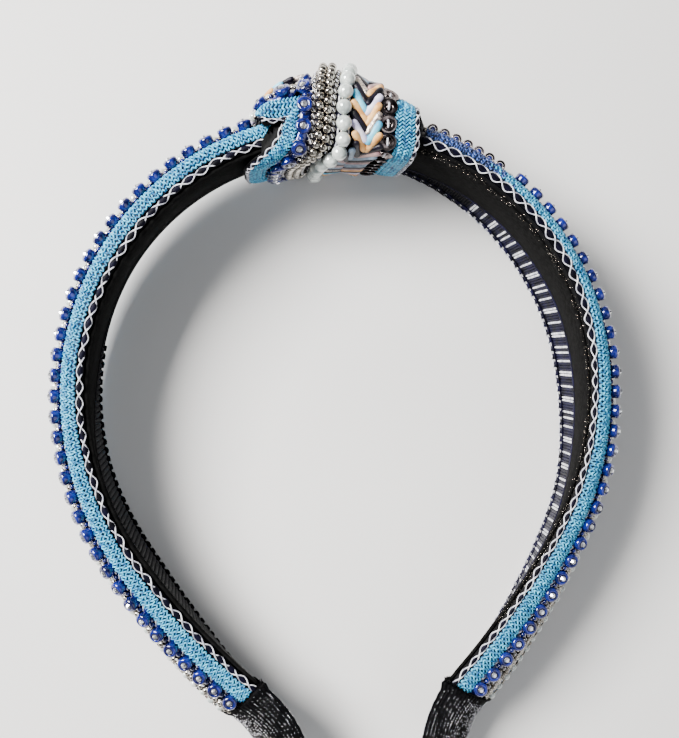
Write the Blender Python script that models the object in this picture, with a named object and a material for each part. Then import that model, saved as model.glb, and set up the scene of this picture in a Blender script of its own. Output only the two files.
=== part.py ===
"""Top knot headband: a padded band with a flat lining, wrapped in a jewelled ribbon of nine rows.

The headband lies on its side. X runs from arm to arm, +Y from the tips to the knot, +Z up.
Helpers work in millimetres in the band's own frame, whose origin is the lining at the top of
the arch. A point on the band is given by three values: its length along the lining from the top
(the right arm is positive), its share of the way round the padded face from the front edge
(0, up) to the back edge (1, down), and its lift off that face.
"""
import math

import bmesh
import bpy
import numpy as np
from mathutils import Vector

MM = 0.001

# Lining arch, one side: length and radius of each arc from the top to the tip, which flares out.
ARCH_ARCS = ((103.5, 66.8), (43.9, 77.0), (46.0, 204.0), (40.0, -38.0))

# Band sections by length from the top: depth of the lining, height of the padding, and how much
# further out the back edge stands than the front edge, as each arm twists towards its tip.
RIGHT_SECTIONS = (
    (0.0, 27.6, 6.0, 0.0),
    (60.0, 25.8, 6.2, 0.4),
    (85.0, 24.9, 6.3, 1.0),
    (112.0, 23.9, 6.5, 2.4),
    (144.0, 22.6, 7.2, 6.2),
    (170.0, 21.0, 8.0, 8.6),
    (198.0, 18.2, 8.2, 10.0),
    (212.0, 15.5, 6.5, 9.4),
    (226.0, 13.0, 5.0, 9.0),
)
LEFT_SECTIONS = (
    (0.0, 27.6, 6.0, 0.0),
    (60.0, 25.8, 6.2, 0.0),
    (90.0, 24.7, 6.4, 0.0),
    (120.0, 23.6, 6.8, 1.2),
    (150.0, 22.3, 7.8, 2.4),
    (172.0, 21.0, 8.4, 4.2),
    (192.0, 18.6, 8.2, 6.0),
    (206.0, 15.5, 6.6, 6.4),
    (220.0, 13.0, 5.0, 6.4),
)
BAND_SQUARENESS = 3.0

# Ribbon rows and their widths at the padded face, from the front edge to the back edge.
ROW_WIDTHS = {
    "front_edging": 1.2,
    "front_braid": 4.8,
    "rhinestone_chain": 4.0,
    "ball_band": 5.4,
    "pearl_string": 3.9,
    "chevron_braid": 6.4,
    "sequin_row": 3.6,
    "back_braid": 4.8,
    "back_edging": 1.2,
}
EDGE_MARGIN = 0.4
RIBBON_WIDTH = sum(ROW_WIDTHS.values()) + 2 * EDGE_MARGIN
ROW_CLEARANCE = 0.2
GAP = 0.35

# Row sections: place across the row from -1 to 1, and lift.
EDGING_SECTION = ((-1.0, GAP), (1.0, GAP), (1.0, 1.3), (-1.0, 1.3))
BRAID_SECTION = ((-1.0, GAP), (1.0, GAP), (1.0, 1.2), (0.0, 1.7), (-1.0, 1.2))
BALL_SECTION = ((-1.0, GAP), (0.0, GAP), (1.0, GAP), (0.9, 2.2), (0.0, 2.4), (-0.9, 2.2))
CHEVRON_SECTION = ((-1.0, GAP), (0.0, GAP), (1.0, GAP), (1.0, 1.3), (0.0, 2.1), (-1.0, 1.3))
SEQUIN_SECTION = ((-1.0, GAP), (1.0, GAP), (1.0, 1.2), (-1.0, 1.2))
ROW_SECTIONS = {
    "front_edging": EDGING_SECTION,
    "front_braid": BRAID_SECTION,
    "ball_band": BALL_SECTION,
    "chevron_braid": CHEVRON_SECTION,
    "sequin_row": SEQUIN_SECTION,
    "back_braid": BRAID_SECTION,
    "back_edging": EDGING_SECTION,
}

# Rhinestones: eight-sided cups, each with a crown and a table, linked side to side.
STONE_SIDES = 8
STONE_PITCH = 5.2
STONE_RINGS = ((1.5, 0.5), (1.7, 2.4), (1.05, 3.1))
PEARL_RADIUS = 1.65

# Where the ribbon's rows start beside the knot and end at the tips, along the lining.
RIGHT_START = 25.2
LEFT_START = 5.0
LEFT_CROWN_START = 16.6
EDGE_ROWS = ("front_edging", "front_braid", "back_braid", "back_edging")
RIGHT_TRIM_END = 198.0
LEFT_TRIM_END = 192.0
ARM_STATIONS = 17
TIP_GAP = 0.4

# The right arm's rows sit further out near the knot.
RIGHT_SHIFT = 1.4
SHIFT_FULL = 70.0
SHIFT_END = 115.0

# Back edging on the arms: a strip round the lining's back edge. By length: how far it folds
# over the lining side, and how far its edge hangs inwards.
FOLD_THICKNESS = 0.95
FOLD_ROOT = 1.1
RIGHT_FOLDS = (
    (25.0, 2.0, 0.4),
    (60.0, 5.5, 1.6),
    (85.0, 7.0, 1.2),
    (112.0, 7.5, 0.6),
    (145.0, 5.0, 0.2),
    (198.0, 2.0, 0.2),
)
LEFT_FOLDS = (
    (5.0, 1.0, 0.2),
    (90.0, 2.0, 0.2),
    (120.0, 5.0, 0.3),
    (160.0, 7.0, 0.4),
    (192.0, 4.0, 0.3),
)

# Lining strip and tip sleeves; a sleeve's last rings are given by distance from the tip and size.
LINING_THICKNESS = 0.9
LINING_INSET = 0.5
CORE_BEYOND_TRIM = 14.0
SLEEVE_BEYOND_TRIM = 25.0
SLEEVE_WALL = 1.3
LIP_FLARE = 0.7
SLEEVE_AFTER_LIP = (3.0, 10.0)
SLEEVE_BEFORE_TIP = ((6.0, 1.0), (2.6, 0.86), (0.7, 0.6), (0.0, 0.3))

# Knot loops: share of the ribbon; x under the lining, low on the front, at its middle, at the
# shoulders, on top and at the back; lowest and highest y; half depth; squareness (2: an ellipse).
KNOT_LOOPS = (
    (0.00, -21.5, -20.0, -13.9, -9.0, -5.8, -14.2, -7.2, 8.6, 17.0, 3.2),
    (0.11, -18.6, -15.3, -9.9, -7.3, -4.4, -10.7, -6.4, 11.2, 17.3, 3.0),
    (0.223, -14.0, -9.4, -6.6, -5.2, -3.2, -6.2, -5.7, 14.4, 17.6, 2.8),
    (0.353, -8.9, -3.7, -1.5, -0.6, 2.0, -1.6, -5.1, 17.9, 17.8, 2.6),
    (0.483, -2.8, 2.3, 3.6, 4.4, 6.9, 2.7, -4.7, 15.8, 17.8, 2.6),
    (0.634, 5.6, 9.3, 9.8, 10.3, 12.0, 8.8, -4.7, 13.6, 17.7, 2.7),
    (0.781, 13.8, 15.2, 15.5, 16.0, 17.8, 14.8, -5.5, 10.0, 17.5, 3.0),
    (0.894, 18.6, 19.4, 19.9, 20.3, 21.4, 19.4, -6.3, 7.0, 17.3, 3.5),
    (1.00, 22.8, 23.0, 23.9, 24.2, 24.8, 23.4, -7.3, 5.2, 17.2, 3.9),
)
# Turn round the loop in degrees and which of the six x values it takes; 0 faces front.
KNOT_TURNS = ((-90, 1), (-42, 2), (-4, 3), (14, 4), (90, 5), (166, 4), (184, 6))
KNOT_TOP_STEPS = 11
KNOT_UNDER_STEPS = 6
KNOT_CORNER = math.radians(-25.0)
KNOT_UNDER_SQUARENESS = 4.5
KNOT_SEAM = math.radians(3.0)
KNOT_LOBE_END = math.radians(3.0)
KNOT_UNDER_ROWS = ("front_edging", "front_braid")
TUNNEL_RINGS = 5
TUNNEL_SOLE = 1.7
ROOM_AT_EDGE = 2.3
ROOM_ON_TOP = 0.5

# Lobe: the ribbon's second layer over the left arm, from its low end to the knot.
LOBE_BASE_AT_END = 5.0
LOBE_BASE_AT_KNOT = 4.1
LOBE_HEIGHT_AT_END = 3.2
LOBE_HEIGHT_AT_KNOT = 9.4
LOBE_HALF_DEPTH = 16.4
LOBE_SQUARENESS = 3.0
LOBE_CROWN_STRETCH = 0.35
LOBE_LEFT = -15.2
LOBE_RIGHT_LOW = -15.3
LOBE_RIGHT_SLOPE = 0.7
LOBE_STATIONS = 4
LOBE_INNER_SHARES = (0.1, 0.9)

# Resting place: the tilt that sets the knot and both tips on the floor, and the arch's top.
REST_TILT = math.radians(3.764)
TOP_X = -0.27
TOP_Y = 74.74
TOP_Z = 21.19

KNOT_OVER_ROWS = tuple(row for row in ROW_WIDTHS if row not in KNOT_UNDER_ROWS)
CROWN_ROWS = tuple(row for row in ROW_WIDTHS if row not in EDGE_ROWS)

COLOURS = {
    "black_satin": ((0.012, 0.012, 0.014, 1.0), 0.35, 0.0),
    "black_felt": ((0.016, 0.016, 0.017, 1.0), 0.8, 0.0),
    "black_knit": ((0.015, 0.015, 0.018, 1.0), 0.6, 0.0),
    "edging_cord": ((0.12, 0.11, 0.25, 1.0), 0.7, 0.0),
    "blue_braid": ((0.14, 0.5, 0.75, 1.0), 0.6, 0.0),
    "rhinestone_blue": ((0.02, 0.06, 0.45, 1.0), 0.2, 0.3),
    "silver_ball": ((0.75, 0.73, 0.7, 1.0), 0.2, 1.0),
    "pearl": ((0.85, 0.88, 0.85, 1.0), 0.2, 0.0),
    "chevron_cord": ((0.85, 0.6, 0.35, 1.0), 0.6, 0.0),
    "gunmetal_sequin": ((0.12, 0.1, 0.1, 1.0), 0.25, 0.9),
}
ROW_COLOURS = {
    "front_edging": "edging_cord",
    "front_braid": "blue_braid",
    "rhinestone_chain": "rhinestone_blue",
    "ball_band": "silver_ball",
    "pearl_string": "pearl",
    "chevron_braid": "chevron_cord",
    "sequin_row": "gunmetal_sequin",
    "back_braid": "blue_braid",
    "back_edging": "edging_cord",
}


def clear_scene():
    for item in list(bpy.data.objects):
        bpy.data.objects.remove(item, do_unlink=True)


def smooth_value(rows, column, place):
    """Catmull-Rom value of one table column at a place in the table's first column."""
    places = [row[0] for row in rows]
    last = len(rows) - 2
    k = min(max(sum(1 for p in places if p <= place) - 1, 0), last)
    before = rows[max(k - 1, 0)]
    start = rows[k]
    end = rows[k + 1]
    after = rows[min(k + 2, len(rows) - 1)]
    span = end[0] - start[0]
    t = min(max((place - start[0]) / span, 0.0), 1.0)
    slope_start = (end[column] - before[column]) / (end[0] - before[0]) * span
    slope_end = (after[column] - start[column]) / (after[0] - start[0]) * span
    rise = end[column] - start[column]
    a = slope_start + slope_end - 2 * rise
    b = 3 * rise - 2 * slope_start - slope_end
    return ((a * t + b) * t + slope_start) * t + start[column]


def arch_frame(length):
    """Point of the lining and its outward direction, in the arch's plane."""
    side = -1.0 if length < 0 else 1.0
    remaining = abs(length)
    x = 0.0
    y = 0.0
    heading = 0.0
    for arc_length, radius in ARCH_ARCS:
        run = min(remaining, arc_length)
        turn = run / radius
        x += radius * (math.sin(heading + turn) - math.sin(heading))
        y += radius * (math.cos(heading + turn) - math.cos(heading))
        heading += turn
        remaining -= run
    return side * x, y, side * math.sin(heading), math.cos(heading)


def half_loop(half_depth, height, squareness, share):
    """Point and outward normal at a share of a rounded half loop, as (height, depth) pairs."""
    turns = np.linspace(0.0, math.pi, 361)
    rises = height * np.abs(np.sin(turns)) ** (2 / squareness)
    depths = half_depth * np.sign(np.cos(turns)) * np.abs(np.cos(turns)) ** (2 / squareness)
    run = np.concatenate(([0.0], np.cumsum(np.hypot(np.diff(rises), np.diff(depths)))))
    rise = float(np.interp(share * run[-1], run, rises))
    depth = float(np.interp(share * run[-1], run, depths))
    up = (rise / height) ** (squareness - 1) / height
    out = math.copysign((abs(depth) / half_depth) ** (squareness - 1) / half_depth, depth)
    return (rise, depth), Vector((up, out)).normalized()


def band_section(length):
    """Depth of the lining and height of the padding."""
    table = LEFT_SECTIONS if length < 0 else RIGHT_SECTIONS
    return smooth_value(table, 1, abs(length)), smooth_value(table, 2, abs(length))


def section_point(length, rise, z):
    """Point of the section by its height off the lining's front edge and its place in depth."""
    table = LEFT_SECTIONS if length < 0 else RIGHT_SECTIONS
    depth = smooth_value(table, 1, abs(length))
    lean = smooth_value(table, 3, abs(length))
    x, y, out_x, out_y = arch_frame(length)
    reach = rise + lean * (0.5 - z / depth)
    return Vector((x + out_x * reach, y + out_y * reach, z))


def band_point(length, share, lift, sole=0.0):
    depth, height = band_section(length)
    point, normal = half_loop(depth / 2, height, BAND_SQUARENESS, share)
    rise = point[0] + normal[0] * lift - sole
    return section_point(length, rise, point[1] + normal[1] * lift)


def lifted(base, station, share, lift, outward):
    """Point of a surface moved along its normal, which is turned to face outward."""
    step_station = 0.01
    step_share = 0.002
    low = max(share - step_share, 0.0)
    high = min(share + step_share, 1.0)
    along = base(station + step_station, share) - base(station - step_station, share)
    across = base(station, high) - base(station, low)
    normal = along.cross(across).normalized() * outward
    return base(station, share) + normal * lift


def rounded(value, squareness):
    """Sine or cosine bent towards a rounded rectangle's."""
    return math.copysign(abs(value) ** (2 / squareness), value)


def knot_base(angle, share):
    """Point of the knot's padded loop; angle 0 faces front, a quarter turn is the top."""
    columns = [smooth_value(KNOT_LOOPS, column, share) for column in range(1, 11)]
    bottom_y, top_y, half_depth, squareness = columns[6:]
    turns = [
        (turn + lap, columns[column - 1]) for lap in (-360, 0, 360) for turn, column in KNOT_TURNS
    ]
    x = smooth_value(turns, 1, math.degrees(angle))
    if math.sin(angle) < 0:
        squareness = KNOT_UNDER_SQUARENESS
    rise = rounded(math.sin(angle), squareness)
    y = (top_y + bottom_y) / 2 + (top_y - bottom_y) / 2 * rise
    return Vector((x, y, half_depth * rounded(math.cos(angle), squareness)))


def knot_point(angle, share, lift):
    return lifted(knot_base, angle, share, lift, -1.0)


def lobe_base(place, share):
    """Point of the lobe's padded face; place 0 is its low left end, 1 its end at the knot."""
    ease = math.sin(min(max(place, 0.0), 1.0) * math.pi / 2)
    base = LOBE_BASE_AT_END + (LOBE_BASE_AT_KNOT - LOBE_BASE_AT_END) * ease
    height = LOBE_HEIGHT_AT_END + (LOBE_HEIGHT_AT_KNOT - LOBE_HEIGHT_AT_END) * ease
    spread = share - LOBE_CROWN_STRETCH * ease * math.sin(2 * math.pi * share) / (2 * math.pi)
    point, _ = half_loop(LOBE_HALF_DEPTH, height, LOBE_SQUARENESS, spread)
    rise = base + point[0]
    right = LOBE_RIGHT_LOW + LOBE_RIGHT_SLOPE * rise
    x, y, out_x, out_y = arch_frame(LOBE_LEFT + (right - LOBE_LEFT) * place)
    return Vector((x + out_x * rise, y + out_y * rise, point[1]))


def lobe_point(place, share, lift):
    return lifted(lobe_base, place, share, lift, 1.0)


def room_lift(share):
    """Room left over the band's padded face, more at its edges where rows run on underneath."""
    return ROOM_AT_EDGE + (ROOM_ON_TOP - ROOM_AT_EDGE) * math.sin(math.pi * share) ** 2


def row_span(row):
    """Shares at which a row starts and ends."""
    start = EDGE_MARGIN
    for name, width in ROW_WIDTHS.items():
        if name == row:
            return start / RIBBON_WIDTH, (start + width) / RIBBON_WIDTH
        start += width
    raise ValueError(row)


def face_shares():
    """Shares of the padded face's lengthwise folds: its edges, the row limits, two row middles."""
    shares = [0.0, 1.0]
    for row in ROW_WIDTHS:
        shares.extend(row_span(row))
    for row in ("ball_band", "chevron_braid"):
        shares.append(sum(row_span(row)) / 2)
    return sorted({round(share, 6) for share in shares})


def shifted(length, share):
    """Share on the arms, where the right arm's rows sit further out near the knot."""
    if length <= 0:
        return share
    fade = min(max((length - SHIFT_FULL) / (SHIFT_END - SHIFT_FULL), 0.0), 1.0)
    shift = RIGHT_SHIFT / RIBBON_WIDTH * (1 + math.cos(fade * math.pi)) / 2
    if share in (0.0, 1.0):
        return share
    return share + shift * (1 - share)


def arm_point(length, share, lift, sole=0.0):
    return band_point(length, shifted(length, share), lift, sole)


def add_object(name, data, colour):
    item = bpy.data.objects.new(name, data)
    bpy.context.scene.collection.objects.link(item)
    item.parent = band_frame
    base, roughness, metallic = COLOURS[colour]
    material = bpy.data.materials.new(name)
    material.use_nodes = True
    shader = material.node_tree.nodes["Principled BSDF"]
    shader.inputs["Base Color"].default_value = base
    shader.inputs["Roughness"].default_value = roughness
    shader.inputs["Metallic"].default_value = metallic
    data.materials.append(material)
    return item


def mesh_from(bm, name):
    bmesh.ops.recalc_face_normals(bm, faces=bm.faces)
    if bm.calc_volume(signed=True) < 0:
        bmesh.ops.reverse_faces(bm, faces=bm.faces)
    mesh = bpy.data.meshes.new(name)
    bm.to_mesh(mesh)
    bm.free()
    return mesh


def bridge(bm, ring, next_ring):
    count = len(ring)
    for k in range(count):
        after = (k + 1) % count
        bm.faces.new((ring[k], ring[after], next_ring[after], next_ring[k]))


def loft(name, rings, colour, endless=False):
    """Closed solid through rings of points in millimetres, capped unless its path is endless."""
    bm = bmesh.new()
    built = [[bm.verts.new(point * MM) for point in ring] for ring in rings]
    for ring, next_ring in zip(built, built[1:]):
        bridge(bm, ring, next_ring)
    if endless:
        bridge(bm, built[-1], built[0])
    else:
        bm.faces.new(built[0])
        bm.faces.new(built[-1])
    return add_object(name, mesh_from(bm, name), colour)


def fold_width(station):
    """How far the back edging folds over the lining side, and how far its edge hangs inwards."""
    folds = LEFT_FOLDS if station < 0 else RIGHT_FOLDS
    return smooth_value(folds, 1, abs(station)), smooth_value(folds, 2, abs(station))


def fold_rings(stations):
    """Back edging of an arm: it wraps the lining's back edge and folds onto the lining side."""
    rings = []
    for station in stations:
        fold, hang = fold_width(station)
        back = -band_section(station)[0] / 2
        corners = (
            (FOLD_ROOT, back - GAP),
            (-GAP, back - GAP),
            (-GAP, back + fold),
            (-GAP - FOLD_THICKNESS, back + fold),
            (-GAP - FOLD_THICKNESS - hang, back - GAP - FOLD_THICKNESS),
            (FOLD_ROOT, back - GAP - FOLD_THICKNESS),
        )
        rings.append([section_point(station, rise, z) for rise, z in corners])
    return rings


def row_rings(surface, stations, row):
    start, end = row_span(row)
    middle = (start + end) / 2
    half = (end - start) / 2 - ROW_CLEARANCE / RIBBON_WIDTH
    section = ROW_SECTIONS[row]
    return [
        [surface(station, middle + across * half, lift) for across, lift in section]
        for station in stations
    ]


def spaced_stations(surface, share, first, last, pitch):
    """Stations spread evenly along a row, about a pitch apart and half a pitch from its ends."""
    fine = np.linspace(first, last, 200)
    points = [surface(station, share, PEARL_RADIUS) for station in fine]
    steps = [(b - a).length for a, b in zip(points, points[1:])]
    run = np.concatenate(([0.0], np.cumsum(steps)))
    count = max(int(run[-1] / pitch), 1)
    places = (np.arange(count) + 0.5) / count * run[-1]
    return [float(station) for station in np.interp(places, run, fine)]


def stone_rings(bm, surface, station, share):
    """Rings of one cut stone in its cup: the cup's foot and rim, and the stone's table."""
    foot = surface(station, share, 0.0)
    up = (surface(station, share, 1.0) - foot).normalized()
    along = surface(station + 0.01, share, 0.0) - foot
    along = (along - up * along.dot(up)).normalized()
    across = up.cross(along)
    rings = []
    for radius, lift in STONE_RINGS:
        ring = []
        for k in range(STONE_SIDES):
            turn = (k - 0.5) * 2 * math.pi / STONE_SIDES
            offset = along * math.cos(turn) + across * math.sin(turn)
            ring.append(bm.verts.new((foot + up * lift + offset * radius) * MM))
        rings.append(ring)
    return rings


def rhinestone_chain(name, surface, first, last):
    """Row of cut stones in cups, each linked to the next by a bar between their facing sides."""
    share = sum(row_span("rhinestone_chain")) / 2
    bm = bmesh.new()
    stations = sorted(spaced_stations(surface, share, first, last, STONE_PITCH))
    stones = [stone_rings(bm, surface, station, share) for station in stations]
    front = (0, 1)
    back = (STONE_SIDES // 2, STONE_SIDES // 2 + 1)
    for k, (foot, rim, table) in enumerate(stones):
        bridge(bm, rim, table)
        bm.faces.new(foot)
        bm.faces.new(table)
        for side in range(STONE_SIDES):
            linked_on = side == front[0] and k < len(stones) - 1
            linked_back = side == back[0] and k > 0
            if not linked_on and not linked_back:
                after = (side + 1) % STONE_SIDES
                bm.faces.new((foot[side], foot[after], rim[after], rim[side]))
    for (foot, rim, _), (next_foot, next_rim, _) in zip(stones, stones[1:]):
        near = [foot[front[0]], foot[front[1]], rim[front[1]], rim[front[0]]]
        far = [next_foot[back[1]], next_foot[back[0]], next_rim[back[0]], next_rim[back[1]]]
        bridge(bm, near, far)
    return add_object(name, mesh_from(bm, name), "rhinestone_blue")


def pearl_string(name, surface, stations):
    """Bead string as a tube that fills the beads' outer form."""
    share = sum(row_span("pearl_string")) / 2
    curve = bpy.data.curves.new(name, "CURVE")
    curve.dimensions = "3D"
    curve.bevel_depth = PEARL_RADIUS * MM
    curve.bevel_resolution = 2
    curve.use_fill_caps = True
    spline = curve.splines.new("POLY")
    points = [surface(station, share, GAP + PEARL_RADIUS) * MM for station in stations]
    spline.points.add(len(points) - 1)
    for slot, point in zip(spline.points, points):
        slot.co = (*point, 1.0)
    return add_object(name, curve, "pearl")


def ribbon(prefix, surface, stations, rows=tuple(ROW_WIDTHS)):
    """Rows of the ribbon along one stretch."""
    for row in rows:
        name = f"{prefix}_{row}"
        if row == "pearl_string":
            pearl_string(name, surface, stations)
        elif row == "rhinestone_chain":
            rhinestone_chain(name, surface, stations[0], stations[-1])
        elif row == "back_edging" and surface is arm_point:
            loft(name, fold_rings(stations), ROW_COLOURS[row])
        else:
            loft(name, row_rings(surface, stations, row), ROW_COLOURS[row])


def trim_end(side):
    return RIGHT_TRIM_END if side > 0 else LEFT_TRIM_END


def arm_stations(side):
    start = RIGHT_START if side > 0 else LEFT_START
    return [side * float(length) for length in np.linspace(start, trim_end(side), ARM_STATIONS)]


def left_crown_stations():
    """Stations of the left arm's crown rows, which stop at the lobe."""
    beyond = [length for length in arm_stations(-1.0) if abs(length) > LEFT_CROWN_START + 1.0]
    return [-LEFT_CROWN_START] + beyond


def band_stations():
    """Stations of the whole band between the trim's two ends."""
    middle = (RIGHT_START - LEFT_START) / 2
    return arm_stations(-1.0)[::-1] + [middle] + arm_stations(1.0)


def tip_stations(side):
    """Stations of the padding beyond the trim, inside the sleeve."""
    return [side * (trim_end(side) + CORE_BEYOND_TRIM * part) for part in (0.5, 1.0)]


def make_core():
    rings = []
    for station in tip_stations(-1.0)[::-1] + band_stations() + tip_stations(1.0):
        ring = [arm_point(station, share, 0.0) for share in face_shares()]
        rings.append(ring + [(ring[0] + ring[-1]) / 2])
    loft("band_core", rings, "black_satin")


def make_lining():
    rings = []
    for station in band_stations():
        half = band_section(station)[0] / 2
        front = half - LINING_INSET
        back = fold_width(station)[0] + GAP - half
        corners = (
            (-GAP, front),
            (-GAP, 0.0),
            (-GAP, back),
            (-GAP - LINING_THICKNESS, back),
            (-GAP - LINING_THICKNESS, 0.0),
            (-GAP - LINING_THICKNESS, front),
        )
        rings.append([section_point(station, rise, z) for rise, z in corners])
    loft("lining", rings, "black_felt")


def sleeve_ring(length, wall, size=1.0):
    """Ring round the band's section, pulled towards its middle where the tip closes."""
    shares = face_shares()
    ring = [band_point(length, share, wall) for share in shares]
    x, y, out_x, out_y = arch_frame(length)
    for k in (0, -1):
        ring[k] -= Vector((out_x, out_y, 0.0)) * wall
    middle = sum(ring, Vector()) / len(ring)
    return [middle + (point - middle) * size for point in ring]


def make_sleeve(name, side):
    """Knit sleeve pulled over the band's end: a cup with a flared lip and a round closed tip."""
    lip = trim_end(side) + TIP_GAP
    core_end = trim_end(side) + CORE_BEYOND_TRIM
    tip = trim_end(side) + SLEEVE_BEYOND_TRIM
    pocket = [core_end + GAP, (lip + core_end) / 2, lip]
    rings = [sleeve_ring(side * length, GAP) for length in pocket]
    rings.append(sleeve_ring(side * lip, SLEEVE_WALL + LIP_FLARE))
    for beyond in SLEEVE_AFTER_LIP:
        rings.append(sleeve_ring(side * (lip + beyond), SLEEVE_WALL))
    for short, size in SLEEVE_BEFORE_TIP:
        rings.append(sleeve_ring(side * (tip - short), SLEEVE_WALL, size))
    loft(name, rings, "black_knit")


def knot_angles():
    """Loop stations: the front lining corner, over the top to the back one, then underneath."""
    top_sweep = math.pi - 2 * KNOT_CORNER
    under_sweep = 2 * math.pi - top_sweep
    top = [KNOT_CORNER + top_sweep * k / KNOT_TOP_STEPS for k in range(KNOT_TOP_STEPS + 1)]
    under = [top[-1] + under_sweep * k / KNOT_UNDER_STEPS for k in range(1, KNOT_UNDER_STEPS)]
    return top, under


def tunnel_ring(place):
    """Ring of the way through the knot, which holds the band; place runs 0 to 1."""
    top, under = knot_angles()
    ring = []
    for k, angle in enumerate(top + under):
        left = knot_base(angle, 0.0).x
        right = knot_base(angle, 1.0).x
        length = left + (right - left) * place
        if k < len(top):
            share = k / (len(top) - 1)
            sole = TUNNEL_SOLE if share in (0.0, 1.0) else 0.0
            ring.append(band_point(length, share, room_lift(share), sole))
            continue
        far = band_point(length, 1.0, room_lift(1.0), TUNNEL_SOLE)
        near = band_point(length, 0.0, room_lift(0.0), TUNNEL_SOLE)
        ring.append(far.lerp(near, (k - len(top) + 1) / KNOT_UNDER_STEPS))
    return ring


def make_knot_core():
    top, under = knot_angles()
    outer = [[knot_base(angle, share) for angle in top + under] for share in face_shares()]
    places = [1.0 - k / (TUNNEL_RINGS - 1) for k in range(TUNNEL_RINGS)]
    loft("knot_core", outer + [tunnel_ring(place) for place in places], "black_satin", True)


def knot_over_stations():
    """Rows that run right round the knot, with their seam at the back lining corner."""
    top, under = knot_angles()
    seam = top[-1] - 2 * math.pi + KNOT_SEAM
    return [seam] + [angle - 2 * math.pi for angle in under] + top


def knot_under_stations():
    """Rows that start and end below the lobe and run underneath."""
    top, under = knot_angles()
    front = [angle + 2 * math.pi for angle in (top[0], top[1], KNOT_LOBE_END)]
    return [math.pi - KNOT_LOBE_END, top[-2], top[-1]] + under + front


def lobe_places():
    return [k / (LOBE_STATIONS - 1) for k in range(LOBE_STATIONS)]


def make_lobe_core():
    """Padding of the lobe: its face outside, and the room for the arm's rows inside."""
    shares = face_shares()
    first, last = LOBE_INNER_SHARES
    rings = []
    for place in lobe_places():
        ring = [lobe_base(place, share) for share in shares]
        for k in range(len(shares)):
            share = last + (first - last) * k / (len(shares) - 1)
            inner = band_point(LOBE_LEFT, share, room_lift(share))
            inner_rise = (inner - Vector((*arch_frame(LOBE_LEFT)[:2], inner.z))).length
            right = LOBE_RIGHT_LOW + LOBE_RIGHT_SLOPE * inner_rise
            length = LOBE_LEFT + (right - LOBE_LEFT) * place
            ring.append(band_point(length, share, room_lift(share)))
        rings.append(ring)
    loft("lobe_core", rings, "black_satin")


clear_scene()
band_frame = bpy.data.objects.new("band_frame", None)
bpy.context.scene.collection.objects.link(band_frame)
band_frame.location = (TOP_X * MM, TOP_Y * MM, TOP_Z * MM)
band_frame.rotation_euler = (REST_TILT, 0.0, 0.0)

make_core()
make_lining()
make_sleeve("left_tip_sleeve", -1.0)
make_sleeve("right_tip_sleeve", 1.0)
ribbon("left", arm_point, arm_stations(-1.0), EDGE_ROWS)
ribbon("left", arm_point, left_crown_stations(), CROWN_ROWS)
ribbon("right", arm_point, arm_stations(1.0))
make_knot_core()
ribbon("knot", knot_point, knot_under_stations(), KNOT_UNDER_ROWS)
ribbon("knot", knot_point, knot_over_stations(), KNOT_OVER_ROWS)
make_lobe_core()
ribbon("lobe", lobe_point, lobe_places())
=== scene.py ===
import math
import random

import bpy
import numpy as np
from mathutils import Matrix, Vector


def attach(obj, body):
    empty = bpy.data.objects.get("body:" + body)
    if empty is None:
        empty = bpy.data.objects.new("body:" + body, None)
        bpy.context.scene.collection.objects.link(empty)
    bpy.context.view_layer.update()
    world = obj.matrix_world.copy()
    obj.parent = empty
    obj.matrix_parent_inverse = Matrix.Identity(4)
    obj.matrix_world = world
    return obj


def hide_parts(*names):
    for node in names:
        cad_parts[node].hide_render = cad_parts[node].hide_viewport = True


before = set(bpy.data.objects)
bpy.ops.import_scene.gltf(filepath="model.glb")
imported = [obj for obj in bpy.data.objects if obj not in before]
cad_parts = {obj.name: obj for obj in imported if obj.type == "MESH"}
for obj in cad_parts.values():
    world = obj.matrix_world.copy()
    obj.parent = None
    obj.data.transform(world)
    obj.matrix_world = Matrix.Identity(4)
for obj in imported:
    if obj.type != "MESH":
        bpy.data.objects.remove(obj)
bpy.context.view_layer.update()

random.seed(4)
MM = 0.001

# The band's own frame, in millimetres, as in the part's source: origin at the lining on top of
# the arch, x towards the right arm, y outward, z towards the front edge.

# The lining's arcs from the top to a tip: length, radius (negative where it flares out).
ARCH_ARCS = ((103.5, 66.8), (43.9, 77.0), (46.0, 204.0), (40.0, -38.0))
# Sections of the arms: length from the top, depth, height of the padding, lean of the depth.
RIGHT_SECTIONS = (
    (0.0, 27.6, 6.0, 0.0),
    (60.0, 25.8, 6.2, 0.4),
    (85.0, 24.9, 6.3, 1.0),
    (112.0, 23.9, 6.5, 2.4),
    (144.0, 22.6, 7.2, 6.2),
    (170.0, 21.0, 8.0, 8.6),
    (198.0, 18.2, 8.2, 10.0),
    (212.0, 15.5, 6.5, 9.4),
    (226.0, 13.0, 5.0, 9.0),
)
LEFT_SECTIONS = (
    (0.0, 27.6, 6.0, 0.0),
    (60.0, 25.8, 6.2, 0.0),
    (90.0, 24.7, 6.4, 0.0),
    (120.0, 23.6, 6.8, 1.2),
    (150.0, 22.3, 7.8, 2.4),
    (172.0, 21.0, 8.4, 4.2),
    (192.0, 18.6, 8.2, 6.0),
    (206.0, 15.5, 6.6, 6.4),
    (220.0, 13.0, 5.0, 6.4),
)
SECTIONS = (LEFT_SECTIONS, RIGHT_SECTIONS)
BAND_SQUARENESS = 3.0
# The ribbon's rows from the front edge to the back.
ROW_WIDTHS = {
    "front_edging": 1.2,
    "front_braid": 4.8,
    "rhinestone_chain": 4.0,
    "ball_band": 5.4,
    "pearl_string": 3.9,
    "chevron_braid": 6.4,
    "sequin_row": 3.6,
    "back_braid": 4.8,
    "back_edging": 1.2,
}
EDGE_MARGIN = 0.4
RIBBON_WIDTH = sum(ROW_WIDTHS.values()) + 2 * EDGE_MARGIN
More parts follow.
